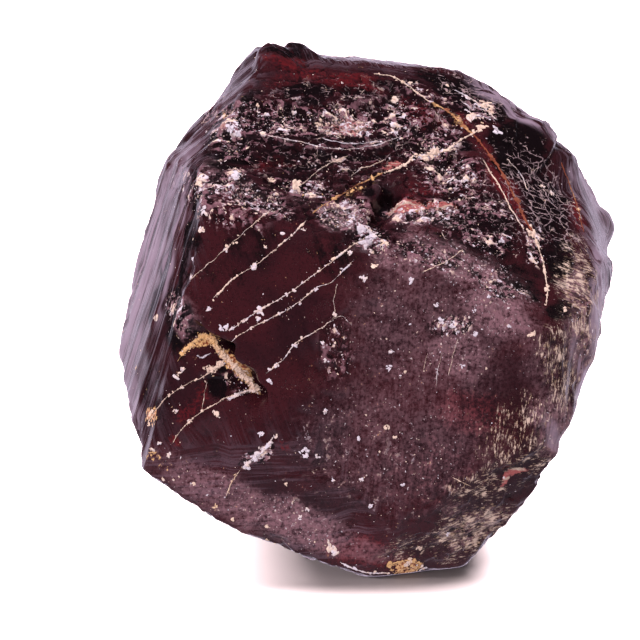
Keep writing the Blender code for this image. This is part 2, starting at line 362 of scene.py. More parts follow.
# Patches on the side toward the camera: middle pixel, half sizes in pixels, turn in degrees, strength.
PATCHES = {
    "red": (
        ((352, 84), (42, 13), 0, 0.9), ((284, 60), (26, 14), -20, 0.7),
        ((298, 84), (40, 22), 10, 0.5), ((270, 162), (24, 9), 0, 1.2), ((330, 112), (40, 12), 0, 0.6),
        ((450, 195), (40, 16), -10, 0.7), ((380, 158), (24, 7), 12, 0.8),
        ((420, 112), (30, 14), -35, 0.75), ((462, 120), (18, 8), -45, 0.8),
        ((507, 188), (52, 10), -61, 0.95), ((500, 225), (36, 40), -40, 0.3),
        ((412, 207), (28, 11), 5, 0.9), ((470, 412), (42, 26), -15, 0.55),
        ((430, 470), (60, 40), 0, 0.25), ((365, 552), (50, 18), -10, 0.85),
        ((200, 400), (34, 12), 42, 0.45), ((176, 441), (6, 9), 60, 0.8),
        ((285, 230), (16, 10), 30, 0.35), ((577, 215), (22, 5), -68, 0.8),
        ((490, 160), (26, 8), -55, 0.7), ((285, 448), (10, 8), 0, 0.5),
    ),
    # Near-black patches: dark glassy garnet, and in part painted shade where faces reflect only the dark front
    # of the studio.
    "deep": (
        ((308, 94), (34, 10), 0, 0.85), ((288, 50), (36, 9), 0, 0.6),
        ((330, 140), (130, 60), -5, 0.5), ((222, 150), (26, 34), 0, 0.55),
        ((196, 230), (9, 90), -14, 0.5), ((152, 392), (18, 44), 14, 0.35),
        ((470, 215), (70, 44), -40, 0.5), ((240, 160), (30, 8), 0, 0.7),
        ((318, 158), (60, 6), 2, 0.6), ((442, 80), (34, 8), -14, 0.9),
        ((468, 98), (56, 16), -29, 0.95), ((164, 270), (3, 80), -13, 0.9),
        ((184, 260), (4, 80), -12, 0.7), ((178, 330), (16, 34), 0, 0.7), ((350, 95), (40, 8), 0, 0.6),
        ((238, 112), (12, 40), -38, 0.6), ((400, 84), (30, 6), -8, 0.7),
        ((330, 168), (60, 7), 8, 0.6), ((398, 120), (14, 8), 0, 0.7), ((461, 149), (15, 7), 22, 1.0),
        ((384, 201), (8, 15), -5, 1.0), ((367, 191), (7, 7), 0, 0.9),
        ((518, 150), (36, 30), -30, 1.0), ((545, 205), (40, 22), -65, 0.9),
        ((558, 255), (16, 30), 0, 0.8), ((480, 200), (20, 22), -50, 0.55),
        ((500, 262), (44, 14), -30, 0.6), ((527, 288), (26, 11), -35, 0.7),
        ((480, 246), (30, 7), -32, 0.6), ((208, 338), (7, 4), 20, 1.0), ((196, 333), (7, 4), 20, 0.8),
        ((224, 369), (6, 4), 0, 0.9), ((243, 378), (6, 3), -30, 0.9), ((218, 386), (13, 13), 0, 0.8),
        ((250, 250), (60, 26), 38, 0.35), ((330, 255), (30, 26), 0, 0.35),
        ((560, 310), (16, 12), 0, 0.7),
    ),
    # Frost is matt lavender haze; its thin patches along the right rim and the top outline are painted
    # highlight, where those faces reflect the bright backdrop.
    "frost_and_painted_highlight": (
        ((470, 268), (80, 20), -27, 0.8), ((497, 312), (48, 26), -25, 0.8),
        ((458, 352), (38, 40), 80, 0.6), ((400, 262), (34, 16), -20, 0.6),
        ((430, 330), (100, 90), 0, 0.4), ((400, 440), (110, 80), 0, 0.38),
        ((342, 214), (24, 20), 0, 0.9), ((248, 194), (48, 13), -24, 0.5),
        ((214, 178), (14, 26), 20, 0.45), ((300, 200), (40, 12), 20, 0.3),
        ((185, 318), (18, 28), 20, 0.45), ((230, 118), (34, 22), 40, 0.4),
        ((345, 128), (26, 12), 0, 0.6), ((235, 500), (100, 24), -27, 0.6),
        ((300, 525), (70, 24), -22, 0.75), ((425, 215), (44, 14), 0, 0.6),
        ((462, 512), (22, 9), 15, 0.4), ((540, 360), (24, 44), 0, 0.35),
        ((580, 320), (20, 70), 4, 0.75), ((556, 430), (26, 50), 25, 0.65),
        ((470, 530), (46, 20), 30, 0.5), ((392, 56), (60, 6), -9, 0.7),
        ((365, 552), (46, 14), -10, 0.5),
    ),
    # Painted sheen: lavender bands on the rims where the faces reflect the bright backdrop at a grazing angle.
    "painted_sheen": (
        ((146, 262), (13, 85), -13, 1.1), ((131, 330), (10, 60), -6, 0.9),
        ((132, 400), (7, 40), 8, 0.6), ((170, 185), (9, 50), -32, 0.7),
        ((600, 290), (9, 62), -4, 1.0), ((586, 385), (8, 50), 14, 1.0),
        ((560, 445), (8, 30), 28, 0.8), ((514, 109), (54, 8), -32, 1.0),
        ((592, 190), (32, 8), -55, 1.0), ((172, 250), (5, 70), -13, 1.0),
    ),
    "turned": (
        ((168, 305), (12, 165), -12, 0.85), ((545, 190), (62, 36), -62, 0.8),
        ((505, 130), (50, 22), -36, 0.7), ((340, 80), (84, 22), -8, 0.6),
        ((450, 90), (50, 20), -22, 0.6), ((360, 564), (140, 7), -12, 0.6),
        ((525, 508), (60, 8), 48, 0.5),
    ),
    "crush": (
        ((270, 118), (66, 18), -3, 0.75), ((330, 135), (140, 60), 0, 0.24),
        ((420, 120), (60, 40), -20, 0.35), ((345, 124), (36, 17), 0, 0.95),
        ((402, 120), (24, 22), 0, 0.75), ((432, 150), (26, 13), 18, 0.95),
        ((232, 130), (10, 8), 0, 1.0), ((233, 176), (11, 7), 0, 1.0),
        ((250, 196), (52, 13), -24, 0.85), ((303, 188), (32, 10), -12, 0.8),
        ((372, 240), (20, 13), -10, 1.0), ((345, 213), (28, 20), 0, 1.0),
        ((425, 213), (44, 14), 0, 0.8), ((480, 110), (22, 11), -32, 0.8),
        ((455, 176), (36, 18), 0, 0.7), ((478, 222), (52, 30), -42, 0.5),
        ((230, 140), (22, 34), 10, 0.5), ((536, 246), (11, 20), 0, 0.9),
        ((495, 282), (36, 14), -28, 0.45), ((450, 325), (22, 12), 0, 0.7),
        ((430, 255), (40, 14), -15, 0.5), ((257, 454), (20, 7), 40, 0.8),
        ((200, 185), (7, 14), 0, 0.8), ((330, 450), (40, 70), 20, 0.16),
        ((400, 480), (80, 60), 0, 0.16), ((300, 500), (60, 26), -20, 0.14),
        ((220, 200), (30, 60), 60, 0.35), ((336, 350), (20, 40), 0, 0.3),
        ((240, 386), (18, 8), -30, 0.7), ((180, 315), (14, 30), 20, 0.5),
    ),
    "net": (
        ((540, 195), (66, 36), -62, 1.0), ((470, 205), (70, 40), -40, 0.7),
        ((470, 92), (52, 15), -26, 0.8), ((440, 125), (40, 22), -30, 0.55),
        ((340, 125), (120, 50), 0, 0.55), ((500, 180), (40, 26), -60, 0.5),
    ),
    "beige": (
        ((583, 300), (24, 62), 12, 0.9), ((560, 370), (20, 50), 12, 0.7),
        ((520, 440), (42, 50), -20, 0.55), ((472, 530), (46, 26), 25, 0.9),
        ((480, 485), (34, 16), 20, 0.6), ((410, 550), (34, 12), 10, 0.5),
    ),
    "ochre": (
        ((238, 368), (30, 7), -45, 1.0), ((203, 343), (16, 5), 22, 0.95),
        ((186, 352), (10, 4), 50, 0.7), ((404, 568), (18, 6), 8, 0.75),
        ((160, 464), (16, 7), -22, 0.5), ((149, 414), (5, 13), 0, 0.6),
        ((456, 118), (13, 5), -45, 0.8), ((222, 112), (4, 3), 0, 0.8), ((221, 128), (3, 5), 0, 0.8),
        ((350, 191), (16, 4), 32, 0.5),
    ),
    "pink": (
        ((408, 208), (20, 7), 8, 1.3), ((440, 204), (20, 5), 0, 0.9), ((394, 164), (12, 5), 8, 0.85),
        ((512, 475), (16, 4), 24, 1.0), ((350, 127), (22, 11), 0, 0.7), ((149, 415), (4, 11), 0, 0.5),
    ),
}
PATCH_CORE, PATCH_FADE = 0.45, 1.35  # a patch is full inside the first part of its size
PATCH_WARP = 7.0  # how far the patches' outlines wander, in pixels
PATCH_WARP_LENGTH = 1.3  # mm

# How strongly each kind shows on faces away from the camera: as grown, and crushed.
HIDDEN_KINDS = {
    "red": (-0.2, -0.05),
    "deep": (-0.1, 0.1),
    "frost_and_painted_highlight": (-0.12, 0.0),
    "painted_sheen": (-1.0, -1.0),
    "turned": (-1.0, -1.0),
    "crush": (-0.25, 0.2),
    "net": (-0.2, 0.05),
    "beige": (-0.3, -0.1),
    "ochre": (-0.5, -0.3),
    "pink": (-0.6, -0.4),
}
HIDDEN_LENGTH = 3.4  # mm

# Veins on the side toward the camera: half width in mm, tone from white (0) by cream to rust (1), pixels.
VEINS = {
    "upper crack": (0.04, 0.25, ((272, 209), (249, 228), (226, 249), (206, 266), (190, 280))),
    "second crack": (0.045, 0.25, ((306, 221), (290, 237), (272, 252), (254, 266), (232, 280), (213, 299))),
    "main vein, low": (0.06, 0.92, ((312, 214), (321, 207), (342, 194), (361, 183), (384, 173))),
    "main vein, high": (
        0.14,
        0.35,
        ((384, 173), (405, 165), (414, 156), (426, 156), (447, 150), (462, 139), (474, 133), (487, 126)),
    ),
    "third crack, upper line": (
        0.055,
        0.2,
        ((368, 236), (345, 251), (326, 266), (307, 280), (286, 295), (258, 311), (243, 321), (229, 331)),
    ),
    "third crack, lower line": (
        0.05,
        0.2,
        ((352, 262), (331, 282), (316, 288), (299, 302), (282, 312), (261, 323), (246, 331), (231, 341)),
    ),
    "fourth crack": (
        0.05,
        0.2,
        ((332, 320), (321, 328), (308, 336), (294, 345), (286, 356), (276, 365), (266, 373)),
    ),
    "spur": (0.03, 0.2, ((337, 284), (334, 300), (335, 313), (332, 320))),
    "side spur": (0.03, 0.2, ((334, 319), (342, 316), (352, 325))),
    "fifth crack": (0.04, 0.4, ((212, 371), (196, 380), (181, 388), (168, 396), (157, 409), (148, 424))),
    "sixth crack": (
        0.045,
        0.35,
        ((254, 389), (240, 394), (226, 398), (203, 411), (190, 421), (178, 434), (172, 444)),
    ),
    "sixth spur": (0.025, 0.3, ((207, 382), (204, 396), (202, 410))),
    "dash": (0.06, 0.25, ((176, 376), (186, 368))),
    "pit arm": (0.06, 0.7, ((178, 361), (186, 349), (194, 341))),
    "white cluster": (0.13, 0.1, ((244, 467), (252, 459), (262, 452), (274, 437))),
    "cluster tail": (0.05, 0.5, ((241, 469), (234, 479), (229, 489), (226, 497))),
    "arc, top": (0.07, 0.35, ((374, 74), (393, 77), (412, 89), (430, 102))),
    "bottom rim": (0.08, 0.1, ((340, 562), (350, 567), (366, 572), (388, 573))),
    "bottom chip": (0.16, 0.15, ((327, 539), (330, 547), (336, 556))),
    "crown edge": (0.045, 0.1, ((455, 90), (470, 99), (484, 108), (497, 120))),
    "arc, middle": (0.13, 0.95, ((430, 102), (447, 111), (458, 120), (466, 129), (474, 135))),
    "arc, right line": (0.12, 1.15, ((474, 135), (489, 154), (502, 173), (515, 198), (525, 219), (533, 233))),
    "arc, left line": (0.05, 0.3, ((483, 160), (490, 172), (500, 188), (511, 209), (523, 229))),
    "arc, foot": (0.09, 0.35, ((531, 226), (536, 240), (541, 255), (545, 272), (547, 290), (546, 305))),
    "small arc": (0.05, 1.05, ((561, 163), (567, 178), (573, 194), (578, 209), (581, 222), (584, 232))),
    "frosted dash": (0.05, 0.35, ((422, 272), (434, 267), (447, 261), (463, 250))),
    "smile, upper": (0.035, 0.0, ((322, 139), (338, 142), (352, 144), (366, 143), (380, 142))),
    "scratch": (0.028, 0.25, ((458, 338), (453, 356), (448, 376))),
    "scratch, left": (0.022, 0.2, ((442, 352), (438, 370), (436, 388))),
    "scratch, far": (0.02, 0.2, ((428, 354), (425, 362), (423, 370))),
    "smile": (0.04, 0.1, ((266, 135), (283, 139), (301, 142), (326, 148), (350, 149), (372, 146), (401, 137))),
    "under smile": (0.03, 0.3, ((300, 186), (313, 175), (327, 165), (348, 156))),
    "fork": (0.035, 0.25, ((351, 177), (359, 169), (367, 167), (384, 160))),
    "shoulder twig": (0.03, 0.15, ((508, 160), (521, 175), (527, 190))),
    "bottom stain": (0.1, 0.85, ((390, 565), (402, 561), (413, 562), (424, 569))),
    "right edge": (0.03, 0.4, ((451, 476), (460, 481), (470, 486))),
}
# Crusts in the pit: half width in mm, tones at both ends, pixels.
CRUSTS = {
    "upper arm": (0.13, 0.7, 0.72, ((182, 353), (190, 346), (199, 339), (206, 335))),
    "head": (0.16, 0.8, 0.7, ((198, 336), (207, 337), (214, 344))),
    "main run": (0.22, 0.68, 0.38, ((210, 338), (219, 350), (230, 363), (240, 372), (250, 382), (258, 391))),
    "cross": (0.17, 0.4, 0.4, ((207, 370), (214, 368), (222, 362))),
    "pale rim": (0.045, 0.05, 0.0, ((197, 356), (203, 358), (210, 354))),
    "low rim": (0.1, 0.1, 0.2, ((228, 399), (238, 394), (248, 391), (258, 393))),
}
# Single flecks: pixel, radius in mm, tone.
FLECKS = (
    ((226, 249), 0.13, 0.1), ((191, 277), 0.15, 0.15), ((254, 267), 0.2, 0.1), ((258, 311), 0.26, 0.1),
    ((226, 328), 0.2, 0.05), ((276, 365), 0.17, 0.1), ((216, 414), 0.2, 0.2), ((175, 411), 0.13, 0.2),
    ((160, 443), 0.13, 0.1), ((168, 454), 0.14, 0.2), ((153, 451), 0.14, 0.25), ((163, 479), 0.13, 0.3),
    ((234, 176), 0.26, 0.0), ((272, 181), 0.22, 0.4), ((297, 186), 0.34, 0.3), ((200, 184), 0.16, 0.3),
    ((202, 229), 0.16, 0.2), ((193, 259), 0.13, 0.0), ((265, 246), 0.12, 0.2), ((304, 451), 0.22, 0.0),
    ((389, 367), 0.15, 0.0), ((405, 372), 0.1, 0.3), ((359, 438), 0.15, 0.0), ((403, 485), 0.14, 0.0),
    ((371, 506), 0.14, 0.0), ((361, 480), 0.12, 0.1), ((387, 427), 0.16, 0.3), ((462, 366), 0.1, 0.0),
    ((374, 266), 0.22, 0.35), ((363, 278), 0.18, 0.05), ((411, 280), 0.18, 0.0), ((502, 240), 0.16, 0.0),
    ((395, 99), 0.24, 0.2), ((483, 106), 0.3, 0.35), ((473, 116), 0.26, 0.3), ((447, 85), 0.18, 0.25),
    ((409, 83), 0.16, 0.3), ((542, 186), 0.18, 0.2), ((552, 193), 0.18, 0.2), ((578, 209), 0.16, 0.6),
    ((230, 128), 0.28, 0.0), ((237, 134), 0.2, 0.0), ((342, 83), 0.09, 0.2), ((258, 105), 0.16, 0.4),
    ((317, 123), 0.26, 0.3), ((294, 113), 0.14, 0.1), ((304, 230), 0.1, 0.1), ((375, 236), 0.34, 0.1),
    ((366, 245), 0.3, 0.05), ((384, 243), 0.22, 0.3), ((432, 152), 0.26, 0.3), ((424, 158), 0.24, 0.35),
    ((152, 412), 0.24, 0.45), ((149, 424), 0.18, 0.5), ((205, 181), 0.1, 0.2), ((531, 234), 0.24, 0.3),
    ((538, 244), 0.18, 0.3), ((300, 517), 0.14, 0.1), ((308, 509), 0.12, 0.1), ((246, 466), 0.26, 0.05),
    ((255, 457), 0.24, 0.0), ((262, 450), 0.2, 0.1), ((276, 437), 0.12, 0.2), ((209, 309), 0.14, 0.0),
    ((221, 328), 0.16, 0.0), ((270, 381), 0.18, 0.0), ((440, 320), 0.22, 0.0), ((452, 326), 0.2, 0.05),
    ((243, 321), 0.13, 0.1), ((300, 303), 0.14, 0.1), ((287, 294), 0.12, 0.15), ((316, 290), 0.12, 0.15),
    ((258, 320), 0.15, 0.1), ((335, 314), 0.16, 0.1), ((295, 345), 0.14, 0.05), ((189, 422), 0.14, 0.15),
    ((182, 387), 0.12, 0.2), ((182, 369), 0.12, 0.2), ((169, 395), 0.1, 0.3), ((155, 319), 0.16, 0.25),
    ((323, 342), 0.12, 0.1), ((326, 360), 0.13, 0.1), ((326, 411), 0.13, 0.1), ((262, 434), 0.14, 0.0),
    ((306, 455), 0.2, 0.0), ((317, 457), 0.12, 0.1), ((333, 480), 0.1, 0.1), ((332, 549), 0.3, 0.2),
    ((194, 484), 0.14, 0.5), ((216, 506), 0.12, 0.55), ((233, 520), 0.14, 0.5), ((267, 526), 0.12, 0.45),
    ((267, 540), 0.12, 0.45), ((286, 484), 0.12, 0.3), ((392, 351), 0.12, 0.1), ((475, 310), 0.12, 0.05),
    ((531, 336), 0.16, 0.35), ((395, 437), 0.14, 0.3), ((448, 534), 0.14, 0.05), ((410, 561), 0.2, 0.3),
    ((419, 548), 0.18, 0.3), ((441, 540), 0.14, 0.35), ((372, 252), 0.22, 0.2), ((362, 232), 0.3, 0.05),
    ((369, 240), 0.34, 0.0), ((350, 252), 0.15, 0.2), ((496, 129), 0.2, 0.0), ((479, 130), 0.18, 0.35),
    ((373, 121), 0.2, 0.3), ((564, 309), 0.16, 0.35), ((437, 150), 0.2, 0.3), ((530, 233), 0.28, 0.3),
    ((486, 103), 0.3, 0.3), ((491, 112), 0.3, 0.35), ((471, 117), 0.34, 0.2), ((467, 98), 0.26, 0.1),
    ((496, 131), 0.34, 0.0), ((482, 128), 0.3, 0.35), ((423, 568), 0.22, 0.1), ((407, 563), 0.2, 0.2),
    ((200, 182), 0.3, 0.25), ((136, 368), 0.18, 0.3), ((203, 211), 0.22, 0.1), ((157, 316), 0.26, 0.25),
    ((458, 333), 0.14, 0.0), ((476, 333), 0.16, 0.0), ((437, 305), 0.14, 0.0), ((489, 297), 0.12, 0.0),
)

# Strips and grains laid on the skin, in mm.
VEIN_SPACING, VEIN_WANDER, VEIN_HEIGHT, VEIN_SIDES, VEIN_ROUGHNESS = 0.05, 0.06, 0.05, 6, 0.3
CRUST_SPACING, CRUST_WANDER, CRUST_SIDES, CRUST_ROUGHNESS = 0.05, 0.08, 12, 0.8
CRUMBS_A_STEP = 3
STRIP_ROOT = 0.12  # how far a strip reaches under the skin
GRAIN_COUNT, GRAIN_RADIUS, GRAIN_SPREAD = 4200, 0.034, 0.5
FLECK_SPLINTERS = 7  # to each fleck
VEIN_GRAIN_SPACING = 0.16
GRAIN_LEAST, GRAIN_MOST = (0.7, 0.4, 0.25), (1.5, 0.9, 0.5)  # length, width and height over the radius

# The studio, in metres.
FLOOR_HALF = 0.6
FLOOR_COLOUR = (0.1, 0.08, 0.082)
LAMP_DISTANCE = 0.5
# Lamps: name, azimuth from the front toward the right, elevation, side, power in watts.
CRYSTAL_LIGHTS = (
    ("back_light", 170, 60, 0.3, 1.0),
    ("front_light", -30, 35, 0.3, 2.2),
)
FLOOR_LIGHTS = (  # these light the floor alone
    ("floor_left", -116, 37, 0.22, 84.0),
    ("floor_right", 118, 55, 0.2, 77.0),
    ("floor_low", -78, 13, 0.1, 14.0),
)


def distance_to_run(points, start, end):
    """Distance from each point to the straight run between two others."""
    run = end - start
    along = np.clip((points - start) @ run / (run @ run), 0.0, 1.0)
    return np.linalg.norm(points - start - along[:, None] * run, axis=1)


def ledge_drop(place, centre, radii, drop):
    """A step down past each radius about a centre on a face, at most 0 high."""
    flat = np.concatenate([place, np.zeros((len(place), 1))], 1)
    away = np.linalg.norm(place - centre, axis=1) + BEND * noise_over(flat, BEND_LENGTH)
    return -drop * sum(smooth_step(r - 0.1, r + 0.2, away) for r in radii)


def ridge_lift(points, across, spacing, height):
    """Sharp growth ridges at even spacing and of uneven strength."""
    phase = points @ across / spacing
    valley = np.abs(2.0 * (phase - np.floor(phase)) - 1.0)
    strength = 0.75 + 0.6 * noise_over(points, spacing)
    return height * strength * (0.4 - valley)


def growth_lines(points, across, along, height):
    """Fine lines along a face's growth direction, at most 0 high."""
    u, v = points @ across, points @ along
    broad = noise_over(np.stack([u / 0.55, v / 9.0, u * 0.0], 1), 1.0, seed=3.0)
    fine = noise_over(np.stack([u / 0.24, v / 5.0, u * 0.0], 1), 1.0, seed=11.0)
    return height * (broad + 0.5 * fine - 0.7)


def terraces(points, across, step, drop):
    """Small steps of a shell-like break that follow each other across a face."""
    field = points @ across / step + 1.6 * noise_over(points, 3.2, seed=5.0)
    field += 0.35 * noise_over(points, 0.9, seed=9.0)
    part = field - np.floor(field)
    lift = smooth_step(0.0, 0.16, part) - part
    return drop * (lift - 0.6)


def shattered(points, size, seed):
    """Small flat splinters: each cell of a break leans its own way, at most 0 high."""
    lift = np.empty(len(points))
    for i, spot in enumerate((points / size + seed).tolist()):
        cell = noise.voronoi(spot)[1][0]
        lift[i] = (Vector(spot) - cell).dot(noise.noise_vector(cell * 3.7))
    return lift * size


def skin_points(points):
    """Where the broken and worn skin lies, straight out from the centre through flat points."""
    length = np.linalg.norm(points, axis=1)
    outward = points / length[:, None]
    facing = outward @ FACETS.normals.T
    depths = FACETS.depths(points)
    ways = FACETS.directions()
    reaches = np.full(facing.shape, np.inf)
    for i, name in enumerate(FACETS.names):
        near = (facing[:, i] >= LEAST_FACING) & (depths[:, i] <= NEAR_FACE)
        if not near.any():
            continue
        some = points[near]
        height = np.zeros(len(some))
        for _, *ledge in (row for row in LEDGES if row[0] == name):
            height += ledge_drop(FACETS.place(name, some), *ledge)
        for _, way, spacing, lift in (row for row in RIDGES if row[0] == name):
            height += ridge_lift(some, FACETS.across(name, way), spacing, lift)
        broken = BROKEN.get(name, 0.0)
        across, along = FACETS.across(name, ways[name]), FACETS.along(name, ways[name])
        if name != "rest":
            height += growth_lines(some, across, along, GROWTH_HEIGHT * (1.0 - 0.5 * broken))
        if broken > 0.3:
            height += terraces(some, across, TERRACE_STEP, TERRACE_DROP * broken)
        reaches[near, i] = (FACETS.distances[i] + height) / facing[near, i]
    nearest = reaches.min(1)
    blend = np.exp(-(reaches - nearest[:, None]) / EDGE_BLEND).sum(1)
    reach = nearest - EDGE_BLEND * np.log(blend)
    worn = worn_depth(points, depths)
    worn *= smooth_step(0.0, RIM, depths[:, FACETS.index("rest")])
    return outward * (reach - worn)[:, None]


def share_by_face(shares, depths):
    """A share given per face at each point, soft across the edges."""
    level = np.array([shares.get(name, 0.0) for name in FACETS.names])
    weight = np.exp(-depths / SHARE_BLEND)
    return (weight @ level) / weight.sum(1)


def worn_depth(points, depths):
    """What chips, waves, troughs, knobs and splinters take off the skin, in mm."""
    second = np.sort(depths, 1)[:, 1]
    near_edge = 1.0 - smooth_step(0.15, CHIP_REACH, second)
    chance = noise_over(points, CHIP_SPACING, CHIP_SEED)
    depth = CHIP_DEPTH * near_edge * np.maximum(chance - 0.08, 0.0)
    depth += WAVE_HEIGHT * (0.1 - noise_over(points, WAVE_LENGTH))
    wobble = 0.3 * noise_over(points * 1.1, 1.0)
    for name, start, end, width, full in TROUGHS:
        away = distance_to_run(points, FACETS.point(name, start), FACETS.point(name, end))
        depth += full * (1.0 - smooth_step(0.3 * width, 1.4 * width, away + wobble))
    for name, middle, radius, height in KNOBS:
        away = np.linalg.norm(points - FACETS.point(name, middle), axis=1) / radius
        depth -= height * (1.0 - smooth_step(0.25, 1.0, away))
    broken = share_by_face(BROKEN, depths)
    chance = noise_over(points, SMALL_CHIP_SPACING, seed=21.0)
    near_edge = 1.0 - smooth_step(0.05, SMALL_CHIP_REACH, second)
    depth += SMALL_CHIP_DEPTH * near_edge * np.maximum(chance - 0.1, 0.0)
    coarse = shattered(points, COARSE_SPLINTER, seed=3.0)
    fine = shattered(points, FINE_SPLINTER, seed=8.0)
    depth += broken * (0.12 - 0.4 * coarse - 0.35 * fine)
    return depth


def crumble(points, crush):
    """Height of the lumps of crushed crystal."""
    lumps = shattered(points, COARSE_LUMP, seed=17.0) + 0.5 * shattered(points, FINE_LUMP, seed=29.0)
    return CRUMBLE * crush * (lumps - 0.05)


def cut_block():
    """Cuts a block down by every flat face and closes each cut."""
    bm = bmesh.new()
    bmesh.ops.create_cube(bm, size=BLOCK_SIDE)
    for normal, distance in zip(FACETS.normals, FACETS.distances):
        cut = bmesh.ops.bisect_plane(
            bm,
            geom=bm.verts[:] + bm.edges[:] + bm.faces[:],
            dist=0.1,
            plane_co=normal * distance,
            plane_no=normal,
            clear_outer=True,
        )
        rim = [e for e in cut["geom_cut"] if isinstance(e, bmesh.types.BMEdge)]
        bmesh.ops.contextual_create(bm, geom=rim)
    bmesh.ops.remove_doubles(bm, verts=bm.verts, dist=SHORTEST_EDGE)
    return bm


def wanted_step(point):
    """Longest side that a triangle may have at a point."""
    face = int(np.argmin(FACETS.depths(np.array([point]))))
    if FACETS.normals[face] @ (SIGHT.eye - np.array(point)) < 0:
        return HIDDEN_STEP
    return BROKEN_STEP if BROKEN.get(FACETS.names[face]) else GROWN_STEP


def flat_edge(edge):
    """Whether the two triangles at an edge lie in one plane."""
    return edge.calc_face_angle() < math.radians(0.5)


def divide(bm):
    """Halves the longest edges first, one to a triangle at a time, until none is too long."""
    bmesh.ops.triangulate(bm, faces=bm.faces)
    for _ in range(40):
        taken, halved = set(), []
        for edge in sorted(bm.edges, key=lambda e: e.calc_length(), reverse=True):
            if edge.calc_length() < BROKEN_STEP:
                break
            if not taken.isdisjoint(edge.link_faces):
                continue
            if edge.calc_length() > wanted_step((edge.verts[0].co + edge.verts[1].co) / 2):
                halved.append(edge)
                taken.update(edge.link_faces)
        if not halved:
            break
        bmesh.ops.subdivide_edges(bm, edges=halved, cuts=1, use_single_edge=True)
        bmesh.ops.triangulate(bm, faces=bm.faces)
        flat = [e for e in bm.edges if flat_edge(e)]
        bmesh.ops.beautify_fill(bm, faces=bm.faces, edges=flat)
    for _ in range(6):
        inner = [v for v in bm.verts if all(map(flat_edge, v.link_edges))]
        bmesh.ops.smooth_vert(
            bm, verts=inner, factor=0.5, use_axis_x=True, use_axis_y=True, use_axis_z=True
        )
    bmesh.ops.subdivide_edges(bm, edges=bm.edges, cuts=SKIN_CUTS, use_grid_fill=True)
    bmesh.ops.triangulate(bm, faces=bm.faces)


def coordinates(mesh):
    """A mesh's points, one to a row."""
    co = np.empty(len(mesh.vertices) * 3)
    mesh.vertices.foreach_get("co", co)
    return co.reshape(-1, 3)


def normals_of(mesh):
    """The outward direction at each point of a mesh."""
    n = np.empty(len(mesh.vertices) * 3)
    mesh.vertex_normals.foreach_get("vector", n)
    return n.reshape(-1, 3)


def lift_above(mesh, rounds):
    """How far each point stands above the skin smoothed over its neighbours, in mm."""
    ends = np.empty(len(mesh.edges) * 2, dtype=np.int64)
    mesh.edges.foreach_get("vertices", ends)
    a, b = ends.reshape(-1, 2).T
    points = coordinates(mesh) / MM
    count = np.bincount(ends, minlength=len(points))
    smooth = points.copy()
    for _ in range(rounds):
        total = np.empty_like(smooth)
        for axis in range(3):
            side = smooth[:, axis]
            total[:, axis] = np.bincount(a, side[b], len(side)) + np.bincount(b, side[a], len(side))
        smooth = 0.5 * smooth + 0.5 * total / count[:, None]
    return np.sum((points - smooth) * normals_of(mesh), 1)


def patch_strength(kind, pixels, toward):
    """The strongest patch of a kind at each point that can be seen."""
    best = np.zeros(len(pixels))
    for middle, size, turn, strength in PATCHES[kind]:
        turn = math.radians(turn)
        right = pixels[:, 0] - middle[0]
        up = middle[1] - pixels[:, 1]
        u = (right * math.cos(turn) + up * math.sin(turn)) / size[0]
        v = (up * math.cos(turn) - right * math.sin(turn)) / size[1]
        away = np.sqrt(u * u + v * v)
        best = np.maximum(best, strength * (1.0 - smooth_step(PATCH_CORE, PATCH_FADE, away)))
    return best * smooth_step(0.02, 0.12, toward)


def colour_kinds(points, normals, flat_points):
    """Every kind's strength at every point, from the patches and, out of sight, from slow noise."""
    depths = FACETS.depths(flat_points)
    broken = share_by_face(BROKEN, depths)
    toward = SIGHT.facing(points, normals)
    pixels = SIGHT.pixels(points)
    pixels[:, 0] += PATCH_WARP * noise_over(points, PATCH_WARP_LENGTH, seed=31.0)
    pixels[:, 1] += PATCH_WARP * noise_over(points, PATCH_WARP_LENGTH, seed=57.0)
    hidden = 1.0 - smooth_step(-0.25, 0.1, toward)
    kinds = {}
    for number, (kind, (grown, crushed)) in enumerate(HIDDEN_KINDS.items()):
        share = grown + (crushed - grown) * broken
        slow = 0.5 + noise_over(points, HIDDEN_LENGTH, seed=70.0 + 9 * number)
        patchy = smooth_step(0.55 - share, 1.15 - share, slow)
        kinds[kind] = np.maximum(patch_strength(kind, pixels, toward), hidden * patchy)
    kinds["broken"] = broken
    kinds["streaked"] = share_by_face(STREAKED, depths)
    return kinds


def finish_mesh(bm, name, material):
    """Makes an object of a bmesh that is already in the row frame."""
    mesh = bpy.data.meshes.new(name)
    bm.to_mesh(mesh)
    bm.free()
    mesh.materials.append(material)
    piece = bpy.data.objects.new(name, mesh)
    bpy.context.scene.collection.objects.link(piece)
    return piece


def store(mesh, name, values):
    """Keeps one number a point for the materials to read."""
    layer = mesh.attributes.new(name, "FLOAT", "POINT")
    layer.data.foreach_set("value", np.ascontiguousarray(values, dtype=np.float32))


def inside_box(points):
    """Points of the row frame held inside the CAD model's box."""
    return np.clip(points, np.array(CAD_LOW), np.array(CAD_HIGH))


def in_row_frame(points):
    """Points about the crystal's centre in mm as points of the row frame in metres, inside the box."""
    return inside_box((points + CENTRE) * MM)


def lay_growth_map(mesh, flat_points):
    """A UV map in mm whose V runs along the growth lines of each face."""
    corners = np.empty(len(mesh.loops), dtype=np.int64)
    mesh.loops.foreach_get("vertex_index", corners)
    corners = corners.reshape(-1, 3)
    middles = flat_points[corners].mean(1)
    owner = FACETS.depths(middles).argmin(1)
    ways = FACETS.directions()
    uv = np.zeros((len(corners), 3, 2))
    for i, name in enumerate(FACETS.names):
        mine = owner == i
        some = flat_points[corners[mine]]
        uv[mine, :, 0] = some @ FACETS.across(name, ways[name]) + 13.0 * i
        uv[mine, :, 1] = some @ FACETS.along(name, ways[name])
    layer = mesh.uv_layers.new(name="growth")
    layer.data.foreach_set("uv", uv.reshape(-1))


